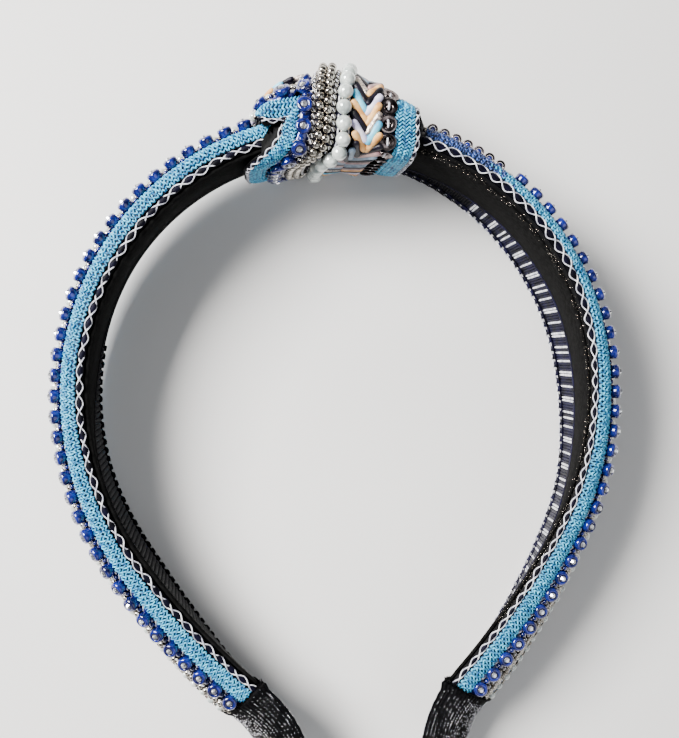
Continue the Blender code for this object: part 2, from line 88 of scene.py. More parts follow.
# On the arms the front edging is stretched wide and its braid is drawn narrow.
ARM_WIDTHS = dict(ROW_WIDTHS, front_edging=2.0, front_braid=4.35)
ARM_MARGIN = 0.05
GAP = 0.35
STONE_PITCH = 5.2
RIGHT_START = 25.2
LEFT_START = 5.0
LEFT_CROWN_START = 16.6
EDGE_ROWS = ("front_edging", "front_braid", "back_braid", "back_edging")
RIGHT_TRIM_END = 198.0
LEFT_TRIM_END = 192.0
# The arms' direction along the arch, where their trim starts and where it ends.
ARMS = {"left": (-1.0, LEFT_START, LEFT_TRIM_END), "right": (1.0, RIGHT_START, RIGHT_TRIM_END)}
RIGHT_SHIFT = 1.4
SHIFT_FULL = 70.0
SHIFT_END = 115.0
FOLD_THICKNESS = 0.95
# Fold of the back edging over the lining: length from the top, reach, how far its edge hangs.
# It reaches further over the lining than in the part's source.
RIGHT_FOLDS = (
    (25.0, 2.0, 0.4),
    (60.0, 6.5, 2.0),
    (85.0, 9.0, 2.2),
    (112.0, 9.5, 1.8),
    (134.0, 10.5, 1.2),
    (152.0, 19.0, 1.2),
    (175.0, 18.0, 1.2),
    (198.0, 15.4, 0.4),
)
LEFT_FOLDS = (
    (5.0, 1.0, 0.2),
    (85.0, 2.5, 0.2),
    (100.0, 6.0, 0.4),
    (118.0, 20.0, 0.8),
    (145.0, 20.6, 1.6),
    (172.0, 18.8, 1.6),
    (192.0, 16.4, 0.8),
)
FOLDS = (LEFT_FOLDS, RIGHT_FOLDS)
LINING_THICKNESS = 0.9
LINING_INSET = 0.1
CORE_BEYOND_TRIM = 14.0
SLEEVE_BEYOND_TRIM = 25.0
SLEEVE_WALL = 1.3
LIP_FLARE = 0.7
TIP_GAP = 0.4

# Knot loops: share of the ribbon; x under the lining, low on the front, at its middle, at the
# shoulders, on top and at the back; lowest and highest y; half depth; squareness (2: an ellipse).
KNOT_LOOPS = (
    (0.00, -21.5, -20.0, -13.9, -9.0, -5.8, -14.2, -7.2, 8.6, 17.0, 3.2),
    (0.11, -18.6, -15.3, -9.9, -7.3, -4.4, -10.7, -6.4, 11.2, 17.3, 3.0),
    (0.223, -14.0, -9.4, -6.6, -5.2, -3.2, -6.2, -5.7, 14.4, 17.6, 2.8),
    (0.353, -8.9, -3.7, -1.5, -0.6, 2.0, -1.6, -5.1, 17.9, 17.8, 2.6),
    (0.483, -2.8, 2.3, 3.6, 4.4, 6.9, 2.7, -4.7, 15.8, 17.8, 2.6),
    (0.634, 5.6, 9.3, 9.8, 10.3, 12.0, 8.8, -4.7, 13.6, 17.7, 2.7),
    (0.781, 13.8, 15.2, 15.5, 16.0, 17.8, 14.8, -5.5, 10.0, 17.5, 3.0),
    (0.894, 18.6, 19.4, 19.9, 20.3, 21.4, 19.4, -6.3, 7.0, 17.3, 3.5),
    (1.00, 22.8, 23.0, 23.9, 24.2, 24.8, 23.4, -7.3, 5.2, 17.2, 3.9),
)
# Angles round the knot in degrees, and the column of x that holds there.
KNOT_TURNS = ((-90, 1), (-42, 2), (-4, 3), (14, 4), (90, 5), (166, 4), (184, 6))
KNOT_UNDER_SQUARENESS = 4.5
KNOT_OVER = (math.radians(-152.0), math.radians(205.0))
KNOT_UNDER = (math.radians(177.0), math.radians(374.0))
KNOT_UNDER_ROWS = ("front_edging", "front_braid")
# Angles round the knot in degrees: start and end of the tunnel's padded side, end of its sole.
TUNNEL_TURNS = (-25.0, 205.0, 335.0)
TUNNEL_SOLE = 1.7
ROOM_AT_EDGE = 2.3
ROOM_ON_TOP = 0.5

# Base and height of the lobe's padding, at its low end and at the knot.
LOBE_BASES = (5.0, 4.1)
LOBE_HEIGHTS = (3.2, 9.4)
LOBE_HALF_DEPTH = 16.4
LOBE_SQUARENESS = 3.0
LOBE_CROWN_STRETCH = 0.35
LOBE_LEFT = -15.2
LOBE_RIGHT_LOW = -15.3
LOBE_RIGHT_SLOPE = 0.7
LOBE_INNER_SHARES = (0.1, 0.9)
LOBE_TUCK = 22.0

REST_TILT = math.radians(3.764)
TOP_X = -0.27
TOP_Y = 74.74
TOP_Z = 21.19

# Camera in the band's frame, from the photograph's perspective.
CAMERA_PLACE = (-29.15, -48.98, 284.51)
CAMERA_VIEW = (0.1039, -0.0413, -0.9937)
CAMERA_UP = (0.0723, 0.9968, -0.0339)
CAMERA_ANGLE = math.radians(38.72)

# Chevron strands from the top of the knot downwards: colours of the near and the far limb. From the
# ninth pair on, the strands lie on the knot's underside, and their steel, mauve and dark colours are
# painted shade; the list repeats along the other stretches.
CHEVRONS = (
    ("silver", "peach"),
    ("dark", "dark"),
    ("sky", "lavender"),
    ("peach", "peach"),
    ("dark", "silver"),
    ("lavender", "sky"),
    ("peach", "peach"),
    ("dark", "dark"),
    ("steel", "mauve"),
    ("dark", "steel"),
    ("mauve", "dark"),
    ("steel", "mauve"),
    ("dark", "steel"),
    ("mauve", "steel"),
    ("steel", "dark"),
    ("dark", "mauve"),
)


def smooth_value(rows, column, place):
    """Catmull-Rom value of one table column at a place in the table's first column."""
    places = [row[0] for row in rows]
    last = len(rows) - 2
    k = min(max(sum(1 for p in places if p <= place) - 1, 0), last)
    before = rows[max(k - 1, 0)]
    start = rows[k]
    end = rows[k + 1]
    after = rows[min(k + 2, len(rows) - 1)]
    span = end[0] - start[0]
    t = min(max((place - start[0]) / span, 0.0), 1.0)
    slope_start = (end[column] - before[column]) / (end[0] - before[0]) * span
    slope_end = (after[column] - start[column]) / (after[0] - start[0]) * span
    rise = end[column] - start[column]
    a = slope_start + slope_end - 2 * rise
    b = 3 * rise - 2 * slope_start - slope_end
    return ((a * t + b) * t + slope_start) * t + start[column]


def arch_frame(length):
    """Point of the lining and its outward direction, in the arch's plane."""
    side = -1.0 if length < 0 else 1.0
    remaining = abs(length)
    x = 0.0
    y = 0.0
    heading = 0.0
    for arc_length, radius in ARCH_ARCS:
        run = min(remaining, arc_length)
        turn = run / radius
        x += radius * (math.sin(heading + turn) - math.sin(heading))
        y += radius * (math.cos(heading + turn) - math.cos(heading))
        heading += turn
        remaining -= run
    return side * x, y, side * math.sin(heading), math.cos(heading)


def half_loop(half_depth, height, squareness, share):
    """Point and outward normal at a share of a rounded half loop, as (height, depth) pairs."""
    turns = np.linspace(0.0, math.pi, 361)
    rises = height * np.abs(np.sin(turns)) ** (2 / squareness)
    depths = half_depth * np.sign(np.cos(turns)) * np.abs(np.cos(turns)) ** (2 / squareness)
    run = np.concatenate(([0.0], np.cumsum(np.hypot(np.diff(rises), np.diff(depths)))))
    rise = float(np.interp(share * run[-1], run, rises))
    depth = float(np.interp(share * run[-1], run, depths))
    up = (rise / height) ** (squareness - 1) / height
    out = math.copysign((abs(depth) / half_depth) ** (squareness - 1) / half_depth, depth)
    return (rise, depth), Vector((up, out)).normalized()


def arm_values(tables, length, *columns):
    """Values from the table of the arm that the length lies on; it is negative on the left arm."""
    return [smooth_value(tables[length >= 0], column, abs(length)) for column in columns]


def band_section(length):
    """Depth of the lining and height of the padding."""
    return arm_values(SECTIONS, length, 1, 2)


def section_point(length, rise, z):
    """Point of the section by its height off the lining's front edge and its place in depth."""
    depth, lean = arm_values(SECTIONS, length, 1, 3)
    x, y, out_x, out_y = arch_frame(length)
    reach = rise + lean * (0.5 - z / depth)
    return Vector((x + out_x * reach, y + out_y * reach, z))


def band_point(length, share, lift, sole=0.0):
    depth, height = band_section(length)
    point, normal = half_loop(depth / 2, height, BAND_SQUARENESS, share)
    rise = point[0] + normal[0] * lift - sole
    return section_point(length, rise, point[1] + normal[1] * lift)


def rounded(value, squareness):
    """Sine or cosine bent towards a rounded rectangle's."""
    return math.copysign(abs(value) ** (2 / squareness), value)


def knot_base(angle, share):
    """Point of the knot's padded loop; angle 0 faces front, a quarter turn is the top."""
    columns = [smooth_value(KNOT_LOOPS, column, share) for column in range(1, 11)]
    bottom_y, top_y, half_depth, squareness = columns[6:]
    turns = [
        (turn + lap, columns[column - 1]) for lap in (-360, 0, 360) for turn, column in KNOT_TURNS
    ]
    x = smooth_value(turns, 1, math.degrees(angle))
    if math.sin(angle) < 0:
        squareness = KNOT_UNDER_SQUARENESS
    rise = rounded(math.sin(angle), squareness)
    y = (top_y + bottom_y) / 2 + (top_y - bottom_y) / 2 * rise
    return Vector((x, y, half_depth * rounded(math.cos(angle), squareness)))


def lobe_base(place, share):
    """Point of the lobe's padded face; place 0 is its low left end, 1 its end at the knot."""
    ease = math.sin(min(max(place, 0.0), 1.0) * math.pi / 2)
    base, height = (low + (high - low) * ease for low, high in (LOBE_BASES, LOBE_HEIGHTS))
    spread = share - LOBE_CROWN_STRETCH * ease * math.sin(2 * math.pi * share) / (2 * math.pi)
    point, _ = half_loop(LOBE_HALF_DEPTH, height, LOBE_SQUARENESS, spread)
    rise = base + point[0]
    right = LOBE_RIGHT_LOW + LOBE_RIGHT_SLOPE * rise
    tuck = LOBE_TUCK * max(place - 1.0, 0.0)
    x, y, out_x, out_y = arch_frame(LOBE_LEFT + (right - LOBE_LEFT) * min(place, 1.0) + tuck)
    return Vector((x + out_x * rise, y + out_y * rise, point[1]))


def room_lift(share):
    """Room left over the band's padded face, more at its edges where rows run on underneath."""
    return ROOM_AT_EDGE + (ROOM_ON_TOP - ROOM_AT_EDGE) * math.sin(math.pi * share) ** 2


def shifted(length, share):
    """Share on the arms, where the right arm's rows sit further out near the knot."""
    if length <= 0 or share in (0.0, 1.0):
        return share
    fade = min(max((length - SHIFT_FULL) / (SHIFT_END - SHIFT_FULL), 0.0), 1.0)
    shift = RIGHT_SHIFT / RIBBON_WIDTH * (1 + math.cos(fade * math.pi)) / 2
    return share + shift * (1 - share)


def arm_base(length, share):
    return band_point(length, shifted(length, share), 0.0)


def fold_width(length):
    """How far the back edging folds over the lining side, and how far its edge hangs inwards."""
    return arm_values(FOLDS, length, 1, 2)


def to_row(points):
    """Millimetres in the band's frame to metres in the row's frame."""
    cos = math.cos(REST_TILT)
    sin = math.sin(REST_TILT)
    x = points[..., 0] + TOP_X
    y = points[..., 1] * cos - points[..., 2] * sin + TOP_Y
    z = points[..., 1] * sin + points[..., 2] * cos + TOP_Z
    return np.stack((x, y, z), axis=-1) * MM


def unit(vectors):
    return vectors / np.maximum(np.linalg.norm(vectors, axis=-1, keepdims=True), 1e-12)


def squared(centres, forward, up):
    """Spots for copies: centres, then forward, side and up directions at right angles."""
    side = unit(np.cross(up, forward))
    return centres, forward, side, np.cross(forward, side)


def running(points):
    """Length along a line at each of its points."""
    steps = np.linalg.norm(np.diff(points, axis=0), axis=1)
    return np.concatenate(([0.0], np.cumsum(steps)))


class Surface:
    """A padded face sampled on a grid, so that thousands of places on it are found at once."""

    def __init__(self, base, first, last, count, outward):
        self.stations = np.linspace(first, last, count)
        self.shares = np.linspace(0.0, 1.0, 73)
        grid = [[base(float(s), float(h)) for h in self.shares] for s in self.stations]
        self.points = np.array(grid)
        along = np.gradient(self.points, axis=0)
        across = np.gradient(self.points, axis=1)
        self.normals = unit(np.cross(along, across)) * outward
        self.outward = outward

    def cell(self, axis, value):
        k = np.clip(np.searchsorted(axis, value) - 1, 0, len(axis) - 2)
        return k, (value - axis[k]) / (axis[k + 1] - axis[k])

    def read(self, grid, station, share):
        i, u = self.cell(self.stations, station)
        k, v = self.cell(self.shares, share)
        u = u[..., None]
        v = v[..., None]
        low = grid[i, k] * (1 - v) + grid[i, k + 1] * v
        high = grid[i + 1, k] * (1 - v) + grid[i + 1, k + 1] * v
        return low * (1 - u) + high * u

    def up(self, station, share):
        station, share = np.broadcast_arrays(station, share)
        return unit(self.read(self.normals, station, share))

    def place(self, station, share, lift=0.0):
        station, share, lift = np.broadcast_arrays(station, share, lift)
        return self.read(self.points, station, share) + self.up(station, share) * lift[..., None]


class Stretch:
    """One stretch of the ribbon: the face it lies on, where its rows are, and how far they run."""

    def __init__(self, name, surface, first, last, widths=ROW_WIDTHS, margin=EDGE_MARGIN):
        self.name = name
        self.on_arm = name in ARMS
        self.surface = surface
        self.first = min(first, last)
        self.last = max(first, last)
        self.spans = {}
        start = margin
        for row, width in widths.items():
            self.spans[row] = (start / RIBBON_WIDTH, (start + width) / RIBBON_WIDTH)
            start += width

    def line(self, row, across=0.0):
        """Share of a line along a row, across it from -1 at its front edge to 1 at its back."""
        start, end = self.spans[row]
        return (start + end) / 2 + across * (end - start) / 2

    def width(self, stations, row, lift=0.0):
        """Real width of a row at its stations, in millimetres, on the face or lifted off it."""
        start, end = self.spans[row]
        far = self.surface.place(stations, end, lift)
        return np.linalg.norm(far - self.surface.place(stations, start, lift), axis=-1)

    def stations(self, share, pitch, phase=0.5, mark=None, lift=1.0):
        """Stations a pitch apart along a row, spread evenly over it or counted from a mark."""
        fine = np.linspace(self.first, self.last, 1200)
        run = running(self.surface.place(fine, share, lift))
        if mark is not None:
            start = float(np.interp(mark, fine, run)) % pitch
            return np.interp(np.arange(start, run[-1], pitch), run, fine)
        count = max(int(run[-1] / pitch), 1)
        return np.interp((np.arange(count) + phase) / count * run[-1], run, fine)

    def ends(self, share, pitch):
        """Stations like the others, with both ends of the row among them."""
        inner = self.stations(share, pitch, 0.0)
        return np.append(inner, self.last)

    def places(self, station, share, lift, turn=0.0, tip=0.0):
        """Centres and forward, side and up directions for copies: turned round up, then tipped."""
        station, share, lift, turn = np.broadcast_arrays(station, share, lift, turn)
        surface = self.surface
        up = surface.up(station, share)
        step = (surface.stations[-1] - surface.stations[0]) / 2000
        along = surface.place(station + step, share) - surface.place(station - step, share)
        along = unit(along - up * np.sum(along * up, axis=-1, keepdims=True))
        side = np.cross(up, along)
        cos = np.cos(turn)[..., None]
        sin = np.sin(turn)[..., None]
        level = along * cos + side * sin
        side = side * cos - along * sin
        forward = level * math.cos(tip) + up * math.sin(tip)
        up = up * math.cos(tip) - level * math.sin(tip)
        return surface.place(station, share, lift), forward, side, up


def facing_out(points, faces):
    """The faces, turned over if the closed shape they bound is inside out."""
    volume = 0.0
    for block in faces:
        for k in range(1, block.shape[1] - 1):
            a = points[block[:, 0]]
            b = points[block[:, k]]
            c = points[block[:, k + 1]]
            volume += float(np.sum(a * np.cross(b, c)))
    return faces if volume >= 0 else [block[:, ::-1] for block in faces]


def net(rows, columns, endless=False):
    """Quads between the points of a grid whose columns close up, and whose rows do if endless."""
    i = np.arange(rows if endless else rows - 1)[:, None]
    k = np.arange(columns)[None, :]
    below = i * columns
    above = (i + 1) % rows * columns
    after = (k + 1) % columns
    return np.stack((below + k, below + after, above + after, above + k), axis=-1).reshape(-1, 4)


def revolved(profile, sides):
    """Closed shape turned from (radius, height) pairs; a radius of zero at an end is a point."""
    rings = [pair for pair in profile if pair[0] > 0]
    angles = (np.arange(sides) + 0.5) * 2 * math.pi / sides
    points = np.concatenate([
        np.stack((np.cos(angles) * r, np.sin(angles) * r, np.full(sides, h)), axis=-1)
        for r, h in rings
    ])
    faces = [net(len(rings), sides)]
    after = (np.arange(sides) + 1) % sides
    for end, first in ((profile[0], 0), (profile[-1], (len(rings) - 1) * sides)):
        ring = first + np.arange(sides)
        if end[0] == 0:
            fan = np.stack((ring, first + after, np.full(sides, len(points))), axis=-1)
            points = np.vstack((points, (0.0, 0.0, end[1])))
            faces.append(fan if first else fan[:, ::-1])
        else:
            faces.append(ring[None, :] if first else ring[None, ::-1])
    return points, facing_out(points, faces)


def ball(radius, sides, rings):
    turns = np.linspace(-math.pi / 2, math.pi / 2, rings + 2)
    profile = [(0.0, -radius)]
    profile += [(radius * math.cos(t), radius * math.sin(t)) for t in turns[1:-1]]
    return revolved(profile + [(0.0, radius)], sides)


def turned_ring(radii, rises, sides):
    """Endless ring with a closed section of radii and rises."""
    turns = np.arange(sides)[:, None] * 2 * math.pi / sides
    points = np.stack((radii * np.cos(turns), radii * np.sin(turns), rises + 0 * turns), axis=-1)
    points = points.reshape(-1, 3)
    return points, facing_out(points, [net(sides, len(radii), True)])


def ring_shape(radius, wire, sides, wire_sides):
    """Ring of round wire lying flat."""
    turns = np.arange(wire_sides) * 2 * math.pi / wire_sides
    return turned_ring(radius + wire * np.cos(turns), wire * np.sin(turns), sides)


def lying(shape):
    """The same shape with its axis laid along the forward direction."""
    points, faces = shape
    return points[:, (2, 0, 1)], faces


def grain(length, radius, sides=6, fullness=0.72):
    """Plump short thread lying forward."""
    half = length / 2
    profile = ((0.0, -half), (radius * fullness, -half * 0.72), (radius, 0.0))
    profile += ((radius * fullness, half * 0.72), (0.0, half))
    return lying(revolved(profile, sides))


def capsule(sides=8):
    """Round-ended strand lying forward, one millimetre long and of radius one."""
    profile = ((0.0, -0.5), (0.62, -0.475), (0.9, -0.41), (1.0, -0.3))
    profile += tuple((radius, -place) for radius, place in profile[::-1])
    return lying(revolved(profile, sides))


BRAID_STITCH = grain(1.0, 1.0, 6, 0.8)
BAR = capsule(6)
CUP_BEAD = ball(0.78, 10, 6)
CUP_STITCH = grain(1.7, 0.18)
STANDING_BEAD = ball(0.85, 10, 6)
STANDING_RING = ring_shape(1.2, 0.3, 16, 6)
SILVER_LOOP = ring_shape(0.6, 0.16, 10, 5)
LOOP_STITCH = grain(1.3, 0.19)
PEARL = ball(1.0, 20, 11)
PEARL_LINK = ring_shape(0.62, 0.2, 10, 6)
PEARL_STITCH = grain(1.9, 0.26)
SEQUIN_EYE = ring_shape(0.56, 0.18, 10, 5)
LOOSE_THREAD = grain(1.0, 0.16, 5)


def add_object(name, data):
    item = bpy.data.objects.new(name, data)
    bpy.context.scene.collection.objects.link(item)
    return item


class Piece:
    """Collects shapes with several materials into one mesh of the part."""

    def __init__(self):
        self.points = []
        self.faces = []
        self.slots = []
        self.total = 0

    def add(self, points, faces, slot):
        for block in faces:
            self.faces.extend((block + self.total).tolist())
            self.slots.extend([slot] * len(block))
        self.points.append(points)
        self.total += len(points)

    def copies(self, spots, shape, slot, size=(1.0, 1.0, 1.0)):
        """Copies of a shape at each spot; size may hold one value for each spot."""
        points, faces = shape
        centre, *directions = spots
        placed = centre[:, None, :]
        for column in range(3):
            scale = np.broadcast_to(size[column], (len(centre),))
            reach = points[None, :, column] * scale[:, None]
            placed = placed + directions[column][:, None, :] * reach[..., None]
        offsets = np.arange(len(centre))[:, None, None] * len(points)
        blocks = [(block[None] + offsets).reshape(-1, block.shape[1]) for block in faces]
        self.add(placed.reshape(-1, 3), blocks, slot)

    def dots(self, spots, radius, rings, slot):
        axes = [np.tile(axis, (len(spots), 1)) for axis in np.eye(3)]
        self.copies((np.array(spots), *axes), ball(radius, 5, rings), slot)

    def loft(self, rings, slot, endless=False):
        """Closed form through rings of points, capped unless it is endless."""
        rings = np.asarray(rings)
        count, sides = rings.shape[:2]
        faces = [net(count, sides, endless)]
        if not endless:
            last = (count - 1) * sides + np.arange(sides)
            faces += [np.arange(sides)[None, ::-1], last[None, :]]
        points = rings.reshape(-1, 3)
        self.add(points, facing_out(points - points.mean(axis=0), faces), slot)

    def tube(self, centres, ups, radius, slot, sides=6):
        """Cord along a line of centres."""
        after = np.vstack((centres[1:], centres[-1:]))
        before = np.vstack((centres[:1], centres[:-1]))
        ahead = unit(after - before)
        side = unit(np.cross(ups, ahead))
        up = np.cross(ahead, side)
        turns = np.arange(sides) * 2 * math.pi / sides
        ring = side[:, None] * np.cos(turns)[None, :, None]
        ring = ring + up[:, None] * np.sin(turns)[None, :, None]
        self.loft(centres[:, None] + ring * radius, slot)

    def build(self, name, kinds, node):
        """The mesh of all shapes, riding on the part's body in place of the named node."""
        mesh = bpy.data.meshes.new(name)
        mesh.from_pydata(to_row(np.concatenate(self.points)).tolist(), [], self.faces)
        for kind in kinds:
            mesh.materials.append(MATERIALS[kind])
        mesh.polygons.foreach_set("material_index", self.slots)
        mesh.polygons.foreach_set("use_smooth", [kinds[k] != FACETED for k in self.slots])
        mesh.update()
        item = add_object(name, mesh)
        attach(item, "root")
        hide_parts(node)
        return item


# Fabrics: dark and bright tone on screen, roughness, sheen, scale of the patches, specular level.
FABRICS = {
    "black_satin": ((3, 3, 4), (9, 9, 11), 0.6, 0.0, 420, 0.1),
    "black_felt": ((8, 8, 8), (20, 20, 20), 0.95, 0.0, 900, 0.05),
    "black_knit": ((2, 2, 3), (9, 9, 11), 0.6, 0.0, 700, 0.05),
    # Black bars: on the arms' back edging they are painted shade over the navy and white ladder;
    # under the front edging they make its bed.
    "black_bar": ((1, 1, 3), (4, 4, 8), 0.4, 0.0, 420, 0.06),
    "blue_braid": ((8, 88, 142), (92, 206, 242), 0.32, 0.04, 1100, 0.5),
    # The darker braid is painted shade, for the right arm's stitches beside the knot.
    "painted_shade_braid": ((2, 3, 24), (66, 96, 168), 0.3, 0.0, 1500, 0.5),
    # The braid's bed is painted shade that shows between the stitches.
    "braid_shade": ((0, 20, 44), (5, 48, 84), 0.7, 0.0, 420, 0.5),
    "white_thread": ((160, 162, 178), (248, 248, 252), 0.45, 0.0, 900, 0.5),
    "navy_thread": ((2, 2, 12), (14, 12, 44), 0.5, 0.0, 420, 0.15),
    "dark_cord_lump": ((1, 1, 6), (9, 8, 28), 0.5, 0.0, 420, 0.08),
    "peach_cord": ((205, 140, 70), (252, 200, 126), 0.5, 0.1, 420, 0.5),
    "sky_cord": ((50, 160, 205), (120, 216, 246), 0.42, 0.1, 420, 0.5),
    "lavender_cord": ((196, 190, 225), (240, 234, 250), 0.5, 0.1, 420, 0.5),
    "dark_cord": ((4, 3, 10), (18, 12, 30), 0.4, 0.0, 420, 0.3),
    # Steel and mauve cords are painted shade: darkened strands for the knot's underside.
    "steel_cord": ((88, 108, 132), (140, 160, 180), 0.5, 0.1, 420, 0.5),
    "mauve_cord": ((140, 105, 110), (190, 155, 150), 0.5, 0.1, 420, 0.5),
}
FABRIC_BUMP = (0.35, 3000)
FACETED = "clear_crystal"

# Other surfaces: dark and bright tone, roughness, metallic, scale of the patches, strength and
# scale of the bump, coat and its roughness.
SURFACES = {
    "blue_cup": ((4, 7, 60), (24, 38, 132), 0.1, 0.3, 500, 0.0, 0, 1.0, 0.04),
    "clear_crystal": ((205, 208, 220), (255, 255, 255), 0.04, 0.9, 900, 0.0, 0, 0.5, 0.03),
    "silver_ball": ((120, 114, 106), (210, 204, 194), 0.1, 1.0, 900, 0.0, 0, 0.0, 0.03),
    "pearl": ((176, 187, 184), (230, 236, 231), 0.16, 0.22, 500, 0.1, 900, 1.0, 0.04),
    "silver_cord": ((110, 100, 105), (238, 222, 205), 0.3, 0.6, 1500, 0.5, 3000, 0.0, 0.03),
    "gunmetal_sequin": ((46, 40, 42), (150, 138, 136), 0.14, 1.0, 500, 0.0, 0, 0.0, 0.03),
    "bronze_dot": ((140, 130, 118), (238, 230, 218), 0.25, 1.0, 400, 0.0, 0, 0.0, 0.03),
    "glitter_dot": ((150, 150, 160), (250, 250, 255), 0.2, 1.0, 400, 0.0, 0, 0.0, 0.03),
    "pale_floor": ((226, 225, 224), (234, 233, 231), 0.75, 0.0, 6, 0.0, 0, 0.0, 0.03),
}
TONE_PLACES = (0.36, 0.64)
ROUGHNESS_SPREAD = 0.06
BUMP_HEIGHT = 0.0003


def colour(values):
    """Linear colour of a screen colour given from 0 to 255."""
    linear = []
    for value in values:
        value /= 255
        linear.append(value / 12.92 if value <= 0.04045 else ((value + 0.055) / 1.055) ** 2.4)
    return (*linear, 1.0)


def noise(nodes, links, scale, detail=2.0, space="Object"):
    place = nodes.new("ShaderNodeTexCoord")
    texture = nodes.new("ShaderNodeTexNoise")
    texture.inputs["Scale"].default_value = scale
    texture.inputs["Detail"].default_value = detail
    links.new(place.outputs[space], texture.inputs["Vector"])
    return texture.outputs["Fac"]


def ramp(nodes, links, factor, positions, tones):
    """Colour that goes from one tone to the other between two positions of a factor."""
    node = nodes.new("ShaderNodeValToRGB")
    for element, position, tone in zip(node.color_ramp.elements, positions, tones):
        element.position = position
        element.color = tone
    links.new(factor, node.inputs["Fac"])
    return node.outputs["Color"]


def make_material(name):
    """Material whose colour wanders between two tones, with a fine bump on most."""
    if name in FABRICS:
        shade, bright, roughness, sheen, patch, specular = FABRICS[name]
        bump, grit = FABRIC_BUMP
        values = {"Sheen Weight": sheen, "Specular IOR Level": specular}
    else:
        shade, bright, roughness, metallic, patch, bump, grit, coat, coat_roughness = SURFACES[name]
        values = {"Metallic": metallic, "Coat Weight": coat, "Coat Roughness": coat_roughness}
    made = bpy.data.materials.new(name)
    made.use_nodes = True
    nodes = made.node_tree.nodes
    links = made.node_tree.links
    shader = nodes["Principled BSDF"]
    tones = (colour(shade), colour(bright))
    painted = ramp(nodes, links, noise(nodes, links, patch), TONE_PLACES, tones)
    links.new(painted, shader.inputs["Base Color"])
    spread = nodes.new("ShaderNodeMapRange")
    spread.inputs["To Min"].default_value = max(roughness - ROUGHNESS_SPREAD, 0.02)
    spread.inputs["To Max"].default_value = roughness + ROUGHNESS_SPREAD
    links.new(noise(nodes, links, patch * 2), spread.inputs["Value"])
    links.new(spread.outputs["Result"], shader.inputs["Roughness"])
    if bump:
        height = nodes.new("ShaderNodeBump")
        height.inputs["Strength"].default_value = bump
        height.inputs["Distance"].default_value = BUMP_HEIGHT
        links.new(noise(nodes, links, grit, 4.0), height.inputs["Height"])
        links.new(height.outputs["Normal"], shader.inputs["Normal"])
    for label, value in values.items():
        shader.inputs[label].default_value = value
    return made


MATERIALS = {name: make_material(name) for name in (*FABRICS, *SURFACES)}

# Sections of the beds under the rows: place across the row, lift off the face.
BED = ((-0.97, 0.1), (0.97, 0.1), (0.97, 0.45), (0.5, 0.8), (0.0, 0.9), (-0.5, 0.8), (-0.97, 0.45))
STONE_BED = ((-0.9, 0.1), (0.9, 0.1), (0.9, 0.5), (0.45, 1.0), (-0.45, 1.0), (-0.9, 0.5))
FLAT_BED = ((-0.95, 0.08), (0.95, 0.08), (0.95, 0.3), (0.0, 0.42), (-0.95, 0.3))
EDGING_BED = ((-0.8, 0.06), (0.8, 0.06), (0.8, 0.25), (0.0, 0.45), (-0.8, 0.25))
BED_TOP = 0.2


def strip(piece, stretch, row, section, slot, pitch=1.2, padding=0.0):
    """Bed of a row; padding raises its top more and more over the first unit of length."""
    stations = stretch.ends(stretch.line(row), pitch)
    shares = np.array([stretch.line(row, across) for across, _ in section])
    lifts = np.array([lift for _, lift in section])
    raised = np.where(lifts > BED_TOP, 1.0, 0.0) * padding
    lifts = lifts[None, :] + raised[None, :] * np.clip(stations, 0.0, 1.0)[:, None]
    piece.loft(stretch.surface.place(stations[:, None], shares[None, :], lifts), slot)


# Braids: columns, pitch, slant and unrest of the slant in degrees, length of a stitch in column
# widths, its breadth.
HERRINGBONE = (6, 0.95, 46.0, 0.0, 1.62, 0.26)
BASKET = (5, 0.68, 58.0, 20.0, 1.75, 0.22)
BRAID_LIFT = 1.2
BRAID_CROWN = 0.4
BRAID_UNREST = 0.08
BRAID_THICKNESS = 0.42
# Beside the knot the right arm's braid and threads are darkened with painted shade, and open rings
# replace the cups.
SHADE_AND_RINGS_END = 47.0
SHADE_UNREST = 6.0


def braid_row(piece, stretch, row):
    """Flat braid over a bed of painted shade, dark between the stitches: a herringbone on the knot,
    knotted crosswise on the arms.
    """
    strip(piece, stretch, row, BED, 1)
    count, pitch, slant, unrest, length, breadth = BASKET if stretch.on_arm else HERRINGBONE
    for k in range(count):
        column = (2 * k + 1) / count - 1
        share = stretch.line(row, column)
        stations = stretch.stations(share, pitch, 0.25 if k % 2 else 0.75)
        turned = (k % 2 * 2.0 - 1.0) * stretch.surface.outward
        if stretch.on_arm:
            turned = turned * (np.arange(len(stations)) % 2 * 2.0 - 1.0)
        wander = np.random.default_rng(k).uniform(-1.0, 1.0, (2, len(stations)))
        lift = BRAID_LIFT - BRAID_CROWN * column ** 2 + wander[1] * BRAID_UNREST
        turn = math.radians(slant) * turned + wander[0] * math.radians(unrest)
        spots = stretch.places(stations, share, lift, turn)
        reach = stretch.width(stations, row) / count * length
        # Stitches beside the knot on the right arm take the darker braid: painted shade.
        dark = (stations + SHADE_UNREST * wander[1] < SHADE_AND_RINGS_END) & (stretch.name == "right")
        for chosen, slot in ((~dark, 0), (dark, 2)):
            size = (reach[chosen], breadth, BRAID_THICKNESS)
            piece.copies([part[chosen] for part in spots], BRAID_STITCH, slot, size)


# Edging chains: swing of the threads in row widths, width of the lumps in swings, pitch.
EDGING_CHAINS = {
    "knot": (0.38, 1.05, 2.7),
    "lobe": (0.38, 1.05, 2.7),
    "left": (0.42, 1.15, 4.1),
    "right": (0.38, 0.9, 4.1),
}
CHAIN_STEP = 0.27
CHAIN_THREAD = 0.19


